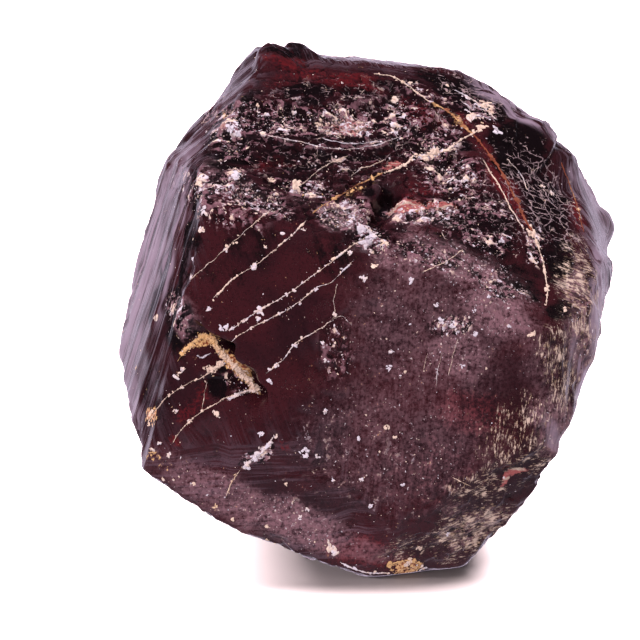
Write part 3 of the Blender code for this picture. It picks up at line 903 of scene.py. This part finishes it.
class Signal:
    """A shader socket that Python expressions add up, multiply and compare."""

    def __init__(self, nodes, socket):
        self.nodes, self.socket = nodes, socket

    def math(self, operation, *others):
        return self.nodes.make("Math", {"operation": operation}, dict(enumerate((self, *others))))

    def __add__(self, other):
        return self.math("ADD", other)

    __radd__ = __add__

    def __sub__(self, other):
        return self.math("SUBTRACT", other)

    def __rsub__(self, other):
        return self.nodes.make("Math", {"operation": "SUBTRACT"}, {0: other, 1: self})

    def __mul__(self, other):
        return self.math("MULTIPLY", other)

    __rmul__ = __mul__

    def maximum(self, other):
        return self.math("MAXIMUM", other)

    def minimum(self, other):
        return self.math("MINIMUM", other)

    def step(self, low, high):
        """0 below low, 1 above high, smooth between; falls instead if low is above high."""
        inputs = {"Value": self, "From Min": low, "From Max": high}
        settings = {"interpolation_type": "SMOOTHSTEP"}
        return self.nodes.make("MapRange", settings, inputs)


class ShaderNodes:
    """Makes the nodes of one material or world."""

    def __init__(self, owner):
        owner.use_nodes = True
        self.owner, self.tree = owner, owner.node_tree

    def make(self, kind, settings=None, inputs=None, output=0):
        """Adds a node: settings first, then values or links for its sockets."""
        node = self.tree.nodes.new("ShaderNode" + kind)
        for name, value in (settings or {}).items():
            setattr(node, name, value)
        for key, value in (inputs or {}).items():
            self.feed(node.inputs[key], value)
        return Signal(self, node.outputs[output])

    def feed(self, socket, value):
        if isinstance(value, Signal):
            self.tree.links.new(value.socket, socket)
        else:
            socket.default_value = value

    def mix(self, factor, low, high):
        """A colour between two colours."""
        inputs = {0: factor, 6: rgba(low), 7: rgba(high)}
        return self.make("Mix", {"data_type": "RGBA"}, inputs, output=2)

    def place(self):
        """The piece's own coordinates in mm."""
        own = self.make("TexCoord", output=3)
        return self.scale(own, 1.0 / MM)

    def vector(self, operation, *vectors):
        return self.make("VectorMath", {"operation": operation}, dict(enumerate(vectors)))

    def scale(self, vector, amount):
        return self.make("VectorMath", {"operation": "SCALE"}, {0: vector, "Scale": amount})

    def centred(self, colour):
        """A colour as a vector about its middle grey."""
        return self.vector("SUBTRACT", colour, (0.5, 0.5, 0.5))

    def shift(self, vector, by, amount):
        """A vector moved by a colour about its middle grey."""
        return self.vector("ADD", vector, self.scale(self.centred(by), amount))

    def stretch(self, vector, scale):
        return self.vector("MULTIPLY", vector, scale)

    def noise(self, vector, per_mm, detail=2.0, roughness=0.5, colour=False):
        inputs = {"Vector": vector, "Scale": per_mm, "Detail": detail, "Roughness": roughness}
        return self.make("TexNoise", None, inputs, output=1 if colour else 0)

    def cells(self, vector, per_mm, feature="F1", output=0):
        inputs = {"Vector": vector, "Scale": per_mm}
        return self.make("TexVoronoi", {"feature": feature}, inputs, output=output)

    def attribute(self, name):
        return self.make("Attribute", {"attribute_name": name}, output=2)

    def bump(self, height, depth, normal=None):
        """A normal from a height of 0 to 1 that stands for a depth in mm."""
        inputs = {"Height": height, "Distance": depth * MM, "Strength": 1.0}
        if normal:
            inputs["Normal"] = normal
        return self.make("Bump", None, inputs)

    def finish(self, **sockets):
        """Feeds the material's shader and gives the material back."""
        shader = self.tree.nodes["Principled BSDF"]
        for name, value in sockets.items():
            self.feed(shader.inputs[name.replace("_", " ")], value)
        return self.owner


def rgba(colour):
    return colour if isinstance(colour, Signal) else (*colour[:3], 1.0)


def garnet_material(look):
    """Dark garnet: red glow, haze, growth streaks, a net of pale threads, crushed chips and stains, with
    painted sheen, painted shade in hollows and painted highlights on crests and chips.
    """
    nodes = ShaderNodes(bpy.data.materials.new("garnet"))
    place = nodes.place()
    warped = nodes.shift(place, nodes.noise(place, 0.9, colour=True), 1.1)
    jagged = nodes.shift(place, nodes.noise(place, 3.5, 2.0, colour=True), 0.35)
    slow = nodes.noise(warped, 0.28, 3.0)
    patchy = nodes.noise(warped, 1.3, 4.0, 0.6)
    fine = nodes.noise(place, 5.0, 3.0, 0.65)
    dust = nodes.noise(place, 11.0, 2.0, 0.6)
    growth = nodes.make("UVMap", {"uv_map": "growth"})
    lines = nodes.noise(nodes.stretch(growth, (1.0, 0.045, 1.0)), 1.9, 4.0, 0.7)
    hairs = nodes.noise(nodes.stretch(growth, (1.0, 0.06, 1.0)), 7.0, 2.0, 0.6)
    dabs = nodes.noise(nodes.stretch(growth, (1.0, 0.25, 1.0)), 3.4, 3.0, 0.6)
    kinds = ("crush", "frost_and_painted_highlight", "net", "broken", "streaked", "beige", "painted_sheen", "turned", "lift")
    crush, frost_and_painted_highlight, net, broken, streaked, beige, painted_sheen, turned, lift = map(nodes.attribute, kinds)

    def ragged(kind, low, high, coarse=1.1, grain=0.8, along=0.0):
        """A kind's patches with rough outlines."""
        mask = nodes.attribute(kind) + (patchy - 0.5) * coarse + (fine - 0.5) * grain
        return (mask + (lines - 0.5) * along if along else mask).step(low, high)

    # Body colour, growth streaks tinted with painted sheen, red glow, haze, and near-black glass that is
    # partly painted shade.
    colour = nodes.mix(slow.step(0.38, 0.62), look.garnet, look.garnet_warm)
    # Growth streaks, coloured with painted sheen: the grazing reflection of the bright backdrop.
    streaks = (lines + 0.5 * (hairs - 0.5)).step(0.46, 0.64) * streaked
    colour = nodes.mix(streaks * 0.6, colour, look.painted_sheen)
    glow = ragged("red", 0.2, 0.9, 1.3, 1.4)
    glow = glow * (0.35 + 0.65 * (hairs + fine + 0.5 * patchy).step(1.05, 1.4))
    colour = nodes.mix(glow, colour, look.red)
    # Matt haze, and along the rims painted highlight.
    haze = 1.0 + 2.0 * (patchy - 0.5) + 2.6 * (fine - 0.5) + 1.0 * (hairs - 0.5)
    haze = (frost_and_painted_highlight * haze).step(0.05, 1.1)
    colour = nodes.mix(haze * 0.8, colour, look.frost_and_painted_highlight)
    colour = nodes.mix((fine + dust).step(0.98, 0.84) * 0.35, colour, look.deep)
    # Near-black glass, partly painted shade where the faces reflect only the dark studio.
    colour = nodes.mix(ragged("deep", 0.15, 0.75, 1.3, 0.9, 1.2), colour, look.deep)

    # Fibrous weathering and iron stains.
    colour = nodes.mix(beige * (dust + patchy).step(1.0, 1.25) * 0.7, colour, look.bark)
    colour = nodes.mix(beige * (patchy + dabs).step(1.0, 0.85) * 0.7, colour, look.deep)
    flecked = nodes.noise(nodes.stretch(growth, (1.0, 0.22, 1.0)), 9.0, 3.0, 0.7)
    fibres = (flecked + 0.5 * (patchy - 0.5) + 0.14 * beige - 0.61).step(0.0, 0.1)
    fibres = fibres * beige.step(0.05, 0.4)
    straw = nodes.mix((patchy + 0.5 * (dust - 0.5)).step(0.42, 0.62), look.beige, look.cream)
    colour = nodes.mix(fibres * 0.75, colour, straw)
    stain = nodes.mix(fine.step(0.4, 0.6), look.rust, look.ochre)
    colour = nodes.mix(ragged("ochre", 0.45, 0.75, 1.2, 2.0), colour, stain)

    # The net of pale threads.
    bent = nodes.shift(place, nodes.noise(place, 1.4, 2.0, colour=True), 0.45)

    def threads(per_mm, width, gate):
        """Thin lines between cells, where the gate lets them show."""
        away = nodes.cells(bent, per_mm, "DISTANCE_TO_EDGE") + (fine - 0.5) * 0.12
        return away.step(width, width * 0.2) * gate

    web = threads(0.95, 0.036, (patchy + 0.3 * net - 0.63).step(0.0, 0.12))
    web = web.maximum(threads(1.7, 0.055, (dabs + patchy + 0.2 * net - 1.12).step(0.0, 0.1)) * 0.7)
    web = web * net.step(0.08, 0.4)
    colour = nodes.mix(web, colour, nodes.mix((dust + patchy).step(1.1, 1.3), look.web, look.cream))

    # Crushed chips, painted shade in the hollows and painted highlight on the raised crests.
    swirl = nodes.noise(place, 1.8, 2.0, colour=True)
    slanted = nodes.shift(nodes.stretch(growth, (1.0, 0.45, 1.0)), swirl, 0.7)

    def chance(per_mm, vector=jagged):
        """A number of its own for each cell."""
        return nodes.make("SeparateColor", None, {0: nodes.cells(vector, per_mm, output=1)})

    crushed = crush.step(0.05, 0.4)
    tone = 0.5 * chance(2.4, slanted) + 0.5 * chance(5.5, slanted)
    tone = tone + 0.8 * (patchy - 0.5) + 0.35 * (fine - 0.5)
    dark = (0.56 - tone).step(0.0, 0.14) * crushed
    grey = (tone + 0.4 * crush - 0.84).step(0.0, 0.12) * crushed
    bright = (tone + 0.34 * crush - 0.91).step(0.0, 0.1) * crushed
    # Painted shade: darker where the skin lies below its smoothed surface.
    hollow_shade = (-0.15 - lift).step(0.0, 0.8) * (0.3 + broken).minimum(1.0)
    # Painted highlight: paler on raised crests of crushed parts.
    crest_highlight = (lift + 1.2 * (fine - 0.5)).step(0.6, 1.1) * crushed
    colour = nodes.mix(dark.maximum(hollow_shade) * 0.85, colour, look.deep)
    colour = nodes.mix(grey.maximum(crest_highlight) * 0.8, colour, look.frost_and_painted_highlight)
    blush = ragged("pink", 0.4, 0.85, 1.0, 2.0)
    colour = nodes.mix(blush * 0.6, colour, nodes.mix(dabs.step(0.48, 0.62), look.pink, look.cream))

    # Painted sheen, specks, powder, and white chips that are partly painted glints.
    # Painted sheen in bands along the rims.
    bands = nodes.noise(nodes.stretch(growth, (1.0, 0.03, 1.0)), 0.9, 1.0)
    lit = (0.6 * bands + 0.6 * lines + 0.3 * (hairs - 0.5)).step(0.54, 0.64) * painted_sheen
    colour = nodes.mix(lit * 0.85, colour, look.painted_sheen)

    def dots(per_mm, share):
        """Small ragged spots in a share of the cells."""
        reach = (chance(per_mm) + share - 1.0) * 1.6
        return (reach - nodes.cells(jagged, per_mm)).step(0.0, 0.1)

    share = 0.05 + 0.22 * frost_and_painted_highlight + 0.15 * crush + 0.35 * (patchy - 0.5)
    specks = dots(3.1, share).maximum(dots(6.3, share + 0.05) * 0.7)
    powder = dots(8.0, 0.1 + 0.34 * frost_and_painted_highlight + 0.2 * crush + 0.35 * (patchy - 0.5))
    colour = nodes.mix(powder * 0.75, colour, look.web)
    # White chips are partly crushed crystal and partly painted glints of small facets, and they fade in
    # hollows as painted shade; specks join them.
    chips_and_glints = (bright * (lift + 0.9).minimum(1.0)).maximum(specks * 0.8)
    pale = nodes.mix((patchy + 0.4 * hairs).step(0.68, 0.8), look.white, look.cream)
    colour = nodes.mix(chips_and_glints, colour, pale)

    # Gloss, fine relief, and the lean of crushed cells and of the bands turned to the front.
    matt = haze.maximum(chips_and_glints)
    for part in (streaks, lit, grey, fibres):
        matt = matt.maximum(0.5 * part)
    rough = 0.16 + 0.12 * patchy + 0.4 * matt
    relief = 0.5 * fine + 0.2 * dust + streaked * (2.4 * lines + 0.6 * hairs) + 0.5 * chips_and_glints + 0.5 * web
    tilt = nodes.scale(nodes.centred(nodes.cells(jagged, 2.2, output=1)), crush * 0.5 + broken * 0.25)
    ways = {"vector_type": "VECTOR", "convert_from": "OBJECT", "convert_to": "WORLD"}
    forward = nodes.make("VectorTransform", ways, {0: nodes.scale((0.1, -0.6, 0.0), turned)})
    leaning = nodes.make("NewGeometry", output=1)
    leaning = nodes.vector("ADD", nodes.vector("ADD", leaning, tilt), forward)
    normal = nodes.bump(relief, look.grain_depth, nodes.vector("NORMALIZE", leaning))
    return nodes.finish(Base_Color=colour, Roughness=rough.minimum(0.9), Normal=normal, IOR=1.5)


class GarnetLook(bpy.types.PropertyGroup):
    """Colours of the crystal and its minerals, and the depth of its finest relief"""

    garnet: FloatVectorProperty(
        name="Garnet", description="Dark body colour", subtype="COLOR", default=(0.023, 0.0048, 0.0078)
    )
    garnet_warm: FloatVectorProperty(
        name="Warm garnet", description="Redder body colour", subtype="COLOR", default=(0.038, 0.0058, 0.009)
    )
    red: FloatVectorProperty(
        name="Red", description="Red glow in thin places", subtype="COLOR", default=(0.1, 0.006, 0.0095)
    )
    # Deep: near-black glass, also painted shade where faces reflect the dark studio and in hollows.
    deep: FloatVectorProperty(
        name="Deep", description="Near-black glassy parts", subtype="COLOR", default=(0.005, 0.002, 0.003)
    )
    # Matt lavender haze, also used as painted highlight on the rims and on raised crests.
    frost_and_painted_highlight: FloatVectorProperty(
        name="Frost", description="Matt lavender haze", subtype="COLOR", default=(0.25, 0.108, 0.14)
    )
    # Painted sheen: the lavender that the rims and growth streaks show by reflecting the bright backdrop.
    painted_sheen: FloatVectorProperty(
        name="Sheen", description="Lavender growth streaks", subtype="COLOR", default=(0.27, 0.175, 0.245)
    )
    # White chips: crushed crystal, and in part painted glints of small facets.
    white: FloatVectorProperty(
        name="White chips", description="Crushed crystal", subtype="COLOR", default=(0.62, 0.51, 0.6)
    )
    cream: FloatVectorProperty(
        name="Cream chips", description="Pale mineral", subtype="COLOR", default=(0.7, 0.48, 0.41)
    )
    web: FloatVectorProperty(
        name="Web", description="Thin pale lines", subtype="COLOR", default=(0.3, 0.19, 0.215)
    )
    bark: FloatVectorProperty(
        name="Bark", description="Brown weathering", subtype="COLOR", default=(0.15, 0.09, 0.085)
    )
    beige: FloatVectorProperty(
        name="Beige", description="Fibrous weathering", subtype="COLOR", default=(0.34, 0.2, 0.13)
    )
    ochre: FloatVectorProperty(
        name="Ochre", description="Light iron stain", subtype="COLOR", default=(0.66, 0.36, 0.17)
    )
    rust: FloatVectorProperty(
        name="Rust", description="Dark iron stain", subtype="COLOR", default=(0.23, 0.05, 0.024)
    )
    pink: FloatVectorProperty(
        name="Pink", description="Salmon patches", subtype="COLOR", default=(0.5, 0.12, 0.12)
    )
    grain_depth: FloatProperty(
        name="Grain", description="Depth of the finest relief, in mm", default=0.03, min=0.0
    )


class GARNET_OT_skin(bpy.types.Operator):
    """Builds the crystal's skin: flat faces, worn edges, ledges, ridges, splinters and pits"""

    bl_idname = "garnet.skin"
    bl_label = "Crystal Skin"

    def execute(self, context):
        bm = cut_block()
        divide(bm)
        bm.verts.index_update()
        flat_points = np.array([v.co for v in bm.verts])
        shaped = skin_points(flat_points)
        for vert, co in zip(bm.verts, in_row_frame(shaped).tolist()):
            vert.co = co
        bmesh.ops.recalc_face_normals(bm, faces=bm.faces)
        skin = finish_mesh(bm, "crystal_skin", garnet_material(context.scene.garnet_look))
        mesh = skin.data
        kinds = colour_kinds(shaped, normals_of(mesh), flat_points)
        crumbled = shaped + normals_of(mesh) * crumble(shaped, kinds["crush"])[:, None]
        mesh.vertices.foreach_set("co", in_row_frame(crumbled).reshape(-1))
        mesh.update()
        mesh.shade_smooth()
        mesh.set_sharp_from_angle(angle=SHARP_ANGLE)
        for kind, values in kinds.items():
            store(mesh, kind, values)
        store(mesh, "lift", np.clip(lift_above(mesh, LIFT_ROUNDS) / LIFT_FULL, -1.0, 1.0))
        lay_growth_map(mesh, flat_points)
        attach(skin, BODY)
        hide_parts(NODE)
        return {"FINISHED"}


class Skin:
    """The finished skin, for laying things on."""

    def __init__(self, piece):
        self.mesh = piece.data
        self.points = coordinates(self.mesh)
        corners = np.empty(len(self.mesh.loops), dtype=np.int64)
        self.mesh.loops.foreach_get("vertex_index", corners)
        self.corners = corners.reshape(-1, 3)
        self.tree = BVHTree.FromPolygons(self.points.tolist(), self.corners.tolist())

    def under(self, pixel):
        """The place and outward direction of the skin at a pixel of the view, in the row frame."""
        eye, way = SIGHT.ray(pixel)
        eye = (eye + Vector(CENTRE)) * MM
        place, normal, _, _ = self.tree.ray_cast(eye, way)
        if place is None:
            raise ValueError(f"pixel {pixel} is beside the crystal")
        return place, normal

    def near(self, point):
        """The nearest place on the skin and its outward direction."""
        place, normal, _, _ = self.tree.find_nearest(point)
        return place, normal

    def values(self, name):
        out = np.empty(len(self.points), dtype=np.float32)
        self.mesh.attributes[name].data.foreach_get("value", out)
        return out


def curve_through(points, spacing):
    """Evenly spaced places on a smooth curve through the given pixels."""
    points = [Vector(p) for p in points]
    padded = [2 * points[0] - points[1], *points, 2 * points[-1] - points[-2]]
    places = []
    for a, b, c, d in zip(padded, padded[1:], padded[2:], padded[3:]):
        count = max(1, round((c - b).length / spacing))
        for i in range(count):
            t = i / count
            bend = (2 * a - 5 * b + 4 * c - d) * t**2
            twist = (3 * b - a - 3 * c + d) * t**3
            places.append(0.5 * (2 * b + (c - a) * t + bend + twist))
    return [*places, points[-1]]


def route_on_skin(skin, pixels, spacing, wander, seed):
    """Places and smoothed outward directions along a run of pixels, lightly wandering."""
    route = []
    for i, pixel in enumerate(curve_through(pixels, spacing * VIEW_SCALE)):
        shift = noise.noise_vector((i * spacing / 0.5, seed, 0.0)).xy * wander * VIEW_SCALE
        shift += noise.noise_vector((i * spacing / 0.13, seed, 4.0)).xy * 0.4 * wander * VIEW_SCALE
        route.append(skin.under(pixel + shift))
    smoothed = []
    for i, (place, _) in enumerate(route):
        near = route[max(0, i - 2) : i + 3]
        normal = sum((n for _, n in near), Vector()).normalized()
        smoothed.append((place, normal))
    return smoothed


def lay_strip(bm, route, half_widths, height, columns, roughness, seed, tones, tone_layer):
    """Rolls a grid into a low closed strip along a route and closes its ends."""
    rows = len(route)
    grid = bmesh.ops.create_grid(bm, x_segments=columns, y_segments=rows - 1, size=1.0)["verts"]
    cells = {}
    for vert in grid:
        column = round((vert.co.x + 1.0) / 2.0 * columns)
        row = round((vert.co.y + 1.0) / 2.0 * (rows - 1))
        cells[vert] = (column, row)
    for vert, (column, row) in cells.items():
        place, normal = route[row]
        before, after = route[max(row - 1, 0)][0], route[min(row + 1, rows - 1)][0]
        side = (after - before).cross(normal).normalized()
        turn = math.tau * (column % columns) / columns
        width = half_widths[row] * MM
        lift = math.sin(turn) * (height if math.sin(turn) > 0 else STRIP_ROOT)
        lump = 1.0 + roughness * noise.noise((column % columns * 0.9, row * 0.5, seed))
        vert.co = inside_box(place + side * math.cos(turn) * width * lump + normal * lift * MM * lump)
        vert[tone_layer] = tones[row]
    bmesh.ops.remove_doubles(bm, verts=list(cells), dist=1e-7)
    ends = [e for e in bm.edges if e.is_boundary]
    bmesh.ops.holes_fill(bm, edges=ends, sides=columns)


def beaded(count, spacing, half_width, seed):
    """Half widths along a vein: thin with beads, tapering at both ends."""
    widths = []
    for i in range(count):
        run = i * spacing
        bead = max(0.0, noise.noise((run / 0.14, seed, 2.0)))
        swell = max(0.0, noise.noise((run / 0.8, seed, 5.0)) - 0.1)
        thin = 0.45 + 0.55 * noise.noise((run / 0.5, seed, 8.0))
        taper = min(1.0, 0.2 + min(i, count - 1 - i) * spacing / 0.4)
        widths.append(half_width * taper * (0.55 * thin + 1.2 * bead + 3.2 * swell * (0.5 + bead)))
    return widths


def mineral_material(look, name):
    """Pale mineral: white by cream and ochre to rust, chalky and grainy."""
    nodes = ShaderNodes(bpy.data.materials.new(name))
    place = nodes.place()
    grain = nodes.noise(place, 7.0, 3.0, 0.6)
    tone = nodes.attribute("tone") + (nodes.noise(place, 2.2) - 0.5) * 0.35
    colour = nodes.mix(tone.step(0.0, 0.3), look.white, look.cream)
    colour = nodes.mix(tone.step(0.45, 0.75), colour, look.ochre)
    colour = nodes.mix(tone.step(0.82, 1.1), colour, look.rust)
    colour = nodes.mix(grain.step(0.5, 0.3) * 0.55, colour, look.garnet_warm)
    normal = nodes.bump(grain, 0.03)
    return nodes.finish(Base_Color=colour, Roughness=0.6 + 0.3 * grain, Normal=normal)


class GARNET_OT_veins(bpy.types.Operator):
    """Lays the pale beaded veins along the cracks"""

    bl_idname = "garnet.veins"
    bl_label = "Mineral Veins"

    def execute(self, context):
        skin = Skin(bpy.data.objects["crystal_skin"])
        bm = bmesh.new()
        tone_layer = bm.verts.layers.float.new("tone")
        for number, (half_width, tone, pixels) in enumerate(VEINS.values()):
            seed = 3.7 * number
            route = route_on_skin(skin, pixels, VEIN_SPACING, VEIN_WANDER, seed)
            widths = beaded(len(route), VEIN_SPACING, half_width, seed)
            runs = [i * VEIN_SPACING for i in range(len(route))]
            tones = [tone + 0.2 * noise.noise((run / 0.8, seed, 9.0)) for run in runs]
            lay_strip(bm, route, widths, VEIN_HEIGHT, VEIN_SIDES, VEIN_ROUGHNESS, seed, tones, tone_layer)
        bmesh.ops.recalc_face_normals(bm, faces=bm.faces)
        material = mineral_material(context.scene.garnet_look, "vein_mineral")
        veins = finish_mesh(bm, "mineral_veins", material)
        veins.data.shade_smooth()
        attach(veins, BODY)
        return {"FINISHED"}


class GARNET_OT_crust(bpy.types.Operator):
    """Lines the pit with its crumbly ochre crust"""

    bl_idname = "garnet.crust"
    bl_label = "Pit Crust"

    def execute(self, context):
        skin = Skin(bpy.data.objects["crystal_skin"])
        rng = np.random.default_rng(5)
        lumps = Lumps()
        bm = bmesh.new()
        tone_layer = bm.verts.layers.float.new("tone")
        for seed, (half_width, first, last, pixels) in enumerate(CRUSTS.values()):
            route = route_on_skin(skin, pixels, CRUST_SPACING, CRUST_WANDER, seed)
            tones = np.linspace(first, last, len(route))
            swell = [noise.noise((i * CRUST_SPACING / 0.35, seed, 1.0)) for i in range(len(route))]
            widths = [half_width * (0.75 + 1.1 * s) for s in swell]
            height = 0.5 * half_width
            lay_strip(bm, route, widths, height, CRUST_SIDES, CRUST_ROUGHNESS, seed, tones, tone_layer)
            for (place, _), tone in zip(route, tones):
                for _ in range(CRUMBS_A_STEP):
                    away = Vector(rng.normal(0.0, 0.7 * half_width * MM, 3))
                    near, outward = skin.near(place + away)
                    radius = half_width * rng.uniform(0.15, 0.5)
                    lumps.add(near, outward, radius, tone + rng.normal(0.0, 0.14))
        bmesh.ops.recalc_face_normals(bm, faces=bm.faces)
        material = mineral_material(context.scene.garnet_look, "crust_mineral")
        crust = finish_mesh(bm, "pit_crust", material)
        crumbs = lumps.join("crust_crumbs", material, rng)
        for piece in (crust, crumbs):
            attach(piece, BODY)
        return {"FINISHED"}


class Lumps:
    """Gathers small splinters that lie on the skin."""

    def __init__(self):
        self.places, self.normals, self.radii, self.tones = [], [], [], []

    def add(self, place, normal, radius, tone):
        self.places.append(tuple(place))
        self.normals.append(tuple(normal))
        self.radii.append(radius * MM)
        self.tones.append(tone)

    def join(self, name, material, rng):
        arrays = map(np.array, (self.places, self.normals, self.radii, self.tones))
        return join_grains(name, *arrays, material, rng)


def scatter(skin, density, count, rng):
    """Random places and directions on the skin, as dense as the density at its points says."""
    a, b, c = (skin.points[skin.corners[:, i]] for i in range(3))
    cross = np.cross(b - a, c - a)
    area = np.linalg.norm(cross, axis=1)
    weight = area * density[skin.corners].mean(1)
    chosen = rng.choice(len(area), size=count, p=weight / weight.sum())
    u, v = rng.random(count), rng.random(count)
    fold = u + v > 1.0
    u[fold], v[fold] = 1.0 - u[fold], 1.0 - v[fold]
    places = a[chosen] + (b - a)[chosen] * u[:, None] + (c - a)[chosen] * v[:, None]
    return places, cross[chosen] / area[chosen][:, None]


def join_grains(name, places, normals, radii, tones, material, rng):
    """Many small flat splinters as one mesh, each a squashed and skewed ball of 20 faces."""
    ball = bmesh.new()
    bmesh.ops.create_icosphere(ball, subdivisions=1, radius=1.0)
    shape = np.array([v.co for v in ball.verts])
    sides = np.array([[v.index for v in f.verts] for f in ball.faces])
    ball.free()
    count = len(places)
    spin = rng.normal(size=(count, 3))
    right = np.cross(spin, normals)
    right /= np.linalg.norm(right, axis=1)[:, None]
    up = np.cross(normals, right)
    sizes = radii[:, None] * rng.uniform(GRAIN_LEAST, GRAIN_MOST, (count, 3))
    jitter = shape[None] * rng.uniform(0.6, 1.25, (count, len(shape), 1)) * sizes[:, None]
    points = (
        places[:, None]
        + right[:, None] * jitter[:, :, :1]
        + up[:, None] * jitter[:, :, 1:2]
        + normals[:, None] * jitter[:, :, 2:]
    )
    points = inside_box(points)
    faces = sides[None] + (np.arange(count) * len(shape))[:, None, None]
    mesh = bpy.data.meshes.new(name)
    mesh.from_pydata(points.reshape(-1, 3).tolist(), [], faces.reshape(-1, 3).tolist())
    store(mesh, "tone", np.repeat(tones, len(shape)))
    mesh.materials.append(material)
    piece = bpy.data.objects.new(name, mesh)
    bpy.context.scene.collection.objects.link(piece)
    return piece


class GARNET_OT_grains(bpy.types.Operator):
    """Strews crushed flecks and pale grains over the broken parts"""

    bl_idname = "garnet.grains"
    bl_label = "Grains"

    def execute(self, context):
        skin = Skin(bpy.data.objects["crystal_skin"])
        rng = np.random.default_rng(11)
        crush = skin.values("crush")
        density = 0.012 + crush**2 + 0.03 * skin.values("frost_and_painted_highlight")
        lumps = Lumps()
        for place, normal in zip(*scatter(skin, density, GRAIN_COUNT, rng)):
            radius = rng.lognormal(math.log(GRAIN_RADIUS), GRAIN_SPREAD)
            lumps.add(place, normal, radius, abs(rng.normal(0.1, 0.22)))
        for pixel, radius, tone in FLECKS:
            place, _ = skin.under(pixel)
            for _ in range(FLECK_SPLINTERS):
                away = Vector(rng.normal(0.0, 0.4 * radius * MM, 3))
                near, outward = skin.near(place + away)
                part = radius * rng.uniform(0.35, 0.9)
                lumps.add(near, outward, part, tone + rng.uniform(-0.08, 0.08))
        for half_width, tone, pixels in VEINS.values():
            for pixel in curve_through(pixels, VEIN_GRAIN_SPACING * VIEW_SCALE):
                if rng.random() < 0.5:
                    place, normal = skin.under(pixel + Vector(rng.normal(0.0, 0.9, 2)))
                    radius = half_width * rng.lognormal(-0.1, 0.6)
                    lumps.add(place, normal, radius, tone + rng.normal(0.0, 0.08))
        material = mineral_material(context.scene.garnet_look, "grain_mineral")
        grains = lumps.join("pale_grains", material, rng)
        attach(grains, BODY)
        return {"FINISHED"}


def white_world():
    """A white surround to the camera, a soft dome for matt light and a banded studio for gloss."""
    world = bpy.data.worlds.new("studio")
    world.cycles.sampling_method = "NONE"
    nodes = ShaderNodes(world)
    nodes.tree.nodes.clear()
    way = nodes.make("TexCoord", output="Generated")
    side, height = (nodes.make("SeparateXYZ", None, {0: way}, output=axis) for axis in ("Y", "Z"))
    glossy, seen = (nodes.make("LightPath", output=ray) for ray in ("Is Glossy Ray", "Is Camera Ray"))
    below = 0.3 - 0.27 * height.step(-0.35, -0.05)
    gloss = 1.5 * side.step(0.25, 0.75) * height.step(0.42, 0.2) + below
    dome = (0.8 + 0.9 * side.step(-0.8, 0.8)) * (0.9 + 0.1 * height.step(-0.2, 0.1))
    strength = nodes.make("Mix", None, {0: glossy, 2: dome, 3: gloss})
    strength = nodes.make("Mix", None, {0: seen, 2: strength, 3: 1.0})
    tint = nodes.mix(glossy, (1.0, 1.0, 1.0), (0.92, 0.78, 1.0))
    light = nodes.make("Background", None, {"Color": tint, "Strength": strength})
    nodes.feed(nodes.tree.nodes.new("ShaderNodeOutputWorld").inputs[0], light)
    bpy.context.scene.world = world


def add_light(name, azimuth, elevation, side, power):
    """A square soft light aimed at the crystal's middle."""
    data = bpy.data.lights.new(name, "AREA")
    data.shape, data.size, data.energy = "SQUARE", side, power
    light = bpy.data.objects.new(name, data)
    bpy.context.scene.collection.objects.link(light)
    a, e = math.radians(azimuth), math.radians(elevation)
    back = Vector((math.sin(a) * math.cos(e), -math.cos(a) * math.cos(e), math.sin(e)))
    light.location = Vector(CENTRE * MM) + back * LAMP_DISTANCE
    light.rotation_euler = (-back).to_track_quat("-Z", "Y").to_euler()
    light.visible_camera = False
    light.visible_glossy = False
    return light


class GARNET_OT_stage(bpy.types.Operator):
    """Sets the white floor, the soft studio light and the camera"""

    bl_idname = "garnet.stage"
    bl_label = "Studio"

    def execute(self, context):
        bm = bmesh.new()
        bmesh.ops.create_grid(bm, x_segments=8, y_segments=8, size=FLOOR_HALF)
        nodes = ShaderNodes(bpy.data.materials.new("white_floor"))
        matt = 0.4 + 0.05 * nodes.noise(nodes.place(), 0.02, 2.0)
        material = nodes.finish(Base_Color=(*FLOOR_COLOUR, 1.0), Roughness=matt, IOR=1.15)
        floor = finish_mesh(bm, "floor", material)
        white_world()
        floor.visible_glossy = False
        floor.visible_diffuse = False
        for lamp in CRYSTAL_LIGHTS:
            add_light(*lamp)
        lit = bpy.data.collections.new("lit_by_floor_lights")
        lit.objects.link(floor)
        for lamp in FLOOR_LIGHTS:
            add_light(*lamp).light_linking.receiver_collection = lit
        camera = bpy.data.cameras.new("camera")
        camera.sensor_width = SENSOR
        camera.lens = SENSOR / (VIEW_SIDE / VIEW_SCALE / VIEW_DISTANCE)
        camera.clip_start = 0.01
        viewer = bpy.data.objects.new("camera", camera)
        viewer.location = Vector((SIGHT.eye + CENTRE) * MM)
        viewer.rotation_euler = (math.pi / 2 - VIEW_ELEVATION, 0.0, 0.0)
        context.scene.collection.objects.link(viewer)
        context.scene.camera = viewer
        context.scene.view_settings.view_transform = "Standard"
        return {"FINISHED"}


class GARNET_PT_panel(bpy.types.Panel):
    """Lists the pieces of the crystal"""

    bl_label = "Garnet Crystal"
    bl_idname = "GARNET_PT_panel"
    bl_space_type = "VIEW_3D"
    bl_region_type = "UI"
    bl_category = "Garnet"

    def draw(self, context):
        for operator in OPERATORS:
            self.layout.operator(operator.bl_idname)


OPERATORS = (GARNET_OT_skin, GARNET_OT_veins, GARNET_OT_crust, GARNET_OT_grains, GARNET_OT_stage)
CLASSES = (GarnetLook, *OPERATORS, GARNET_PT_panel)


def register():
    for item in CLASSES:
        bpy.utils.register_class(item)
    bpy.types.Scene.garnet_look = PointerProperty(type=GarnetLook)


def unregister():
    del bpy.types.Scene.garnet_look
    for item in reversed(CLASSES):
        bpy.utils.unregister_class(item)


def main():
    register()
    noise.seed_set(NOISE_SEED)
    bpy.ops.garnet.skin()
    bpy.ops.garnet.veins()
    bpy.ops.garnet.crust()
    bpy.ops.garnet.grains()
    bpy.ops.garnet.stage()


if __name__ == "__main__":
    main()
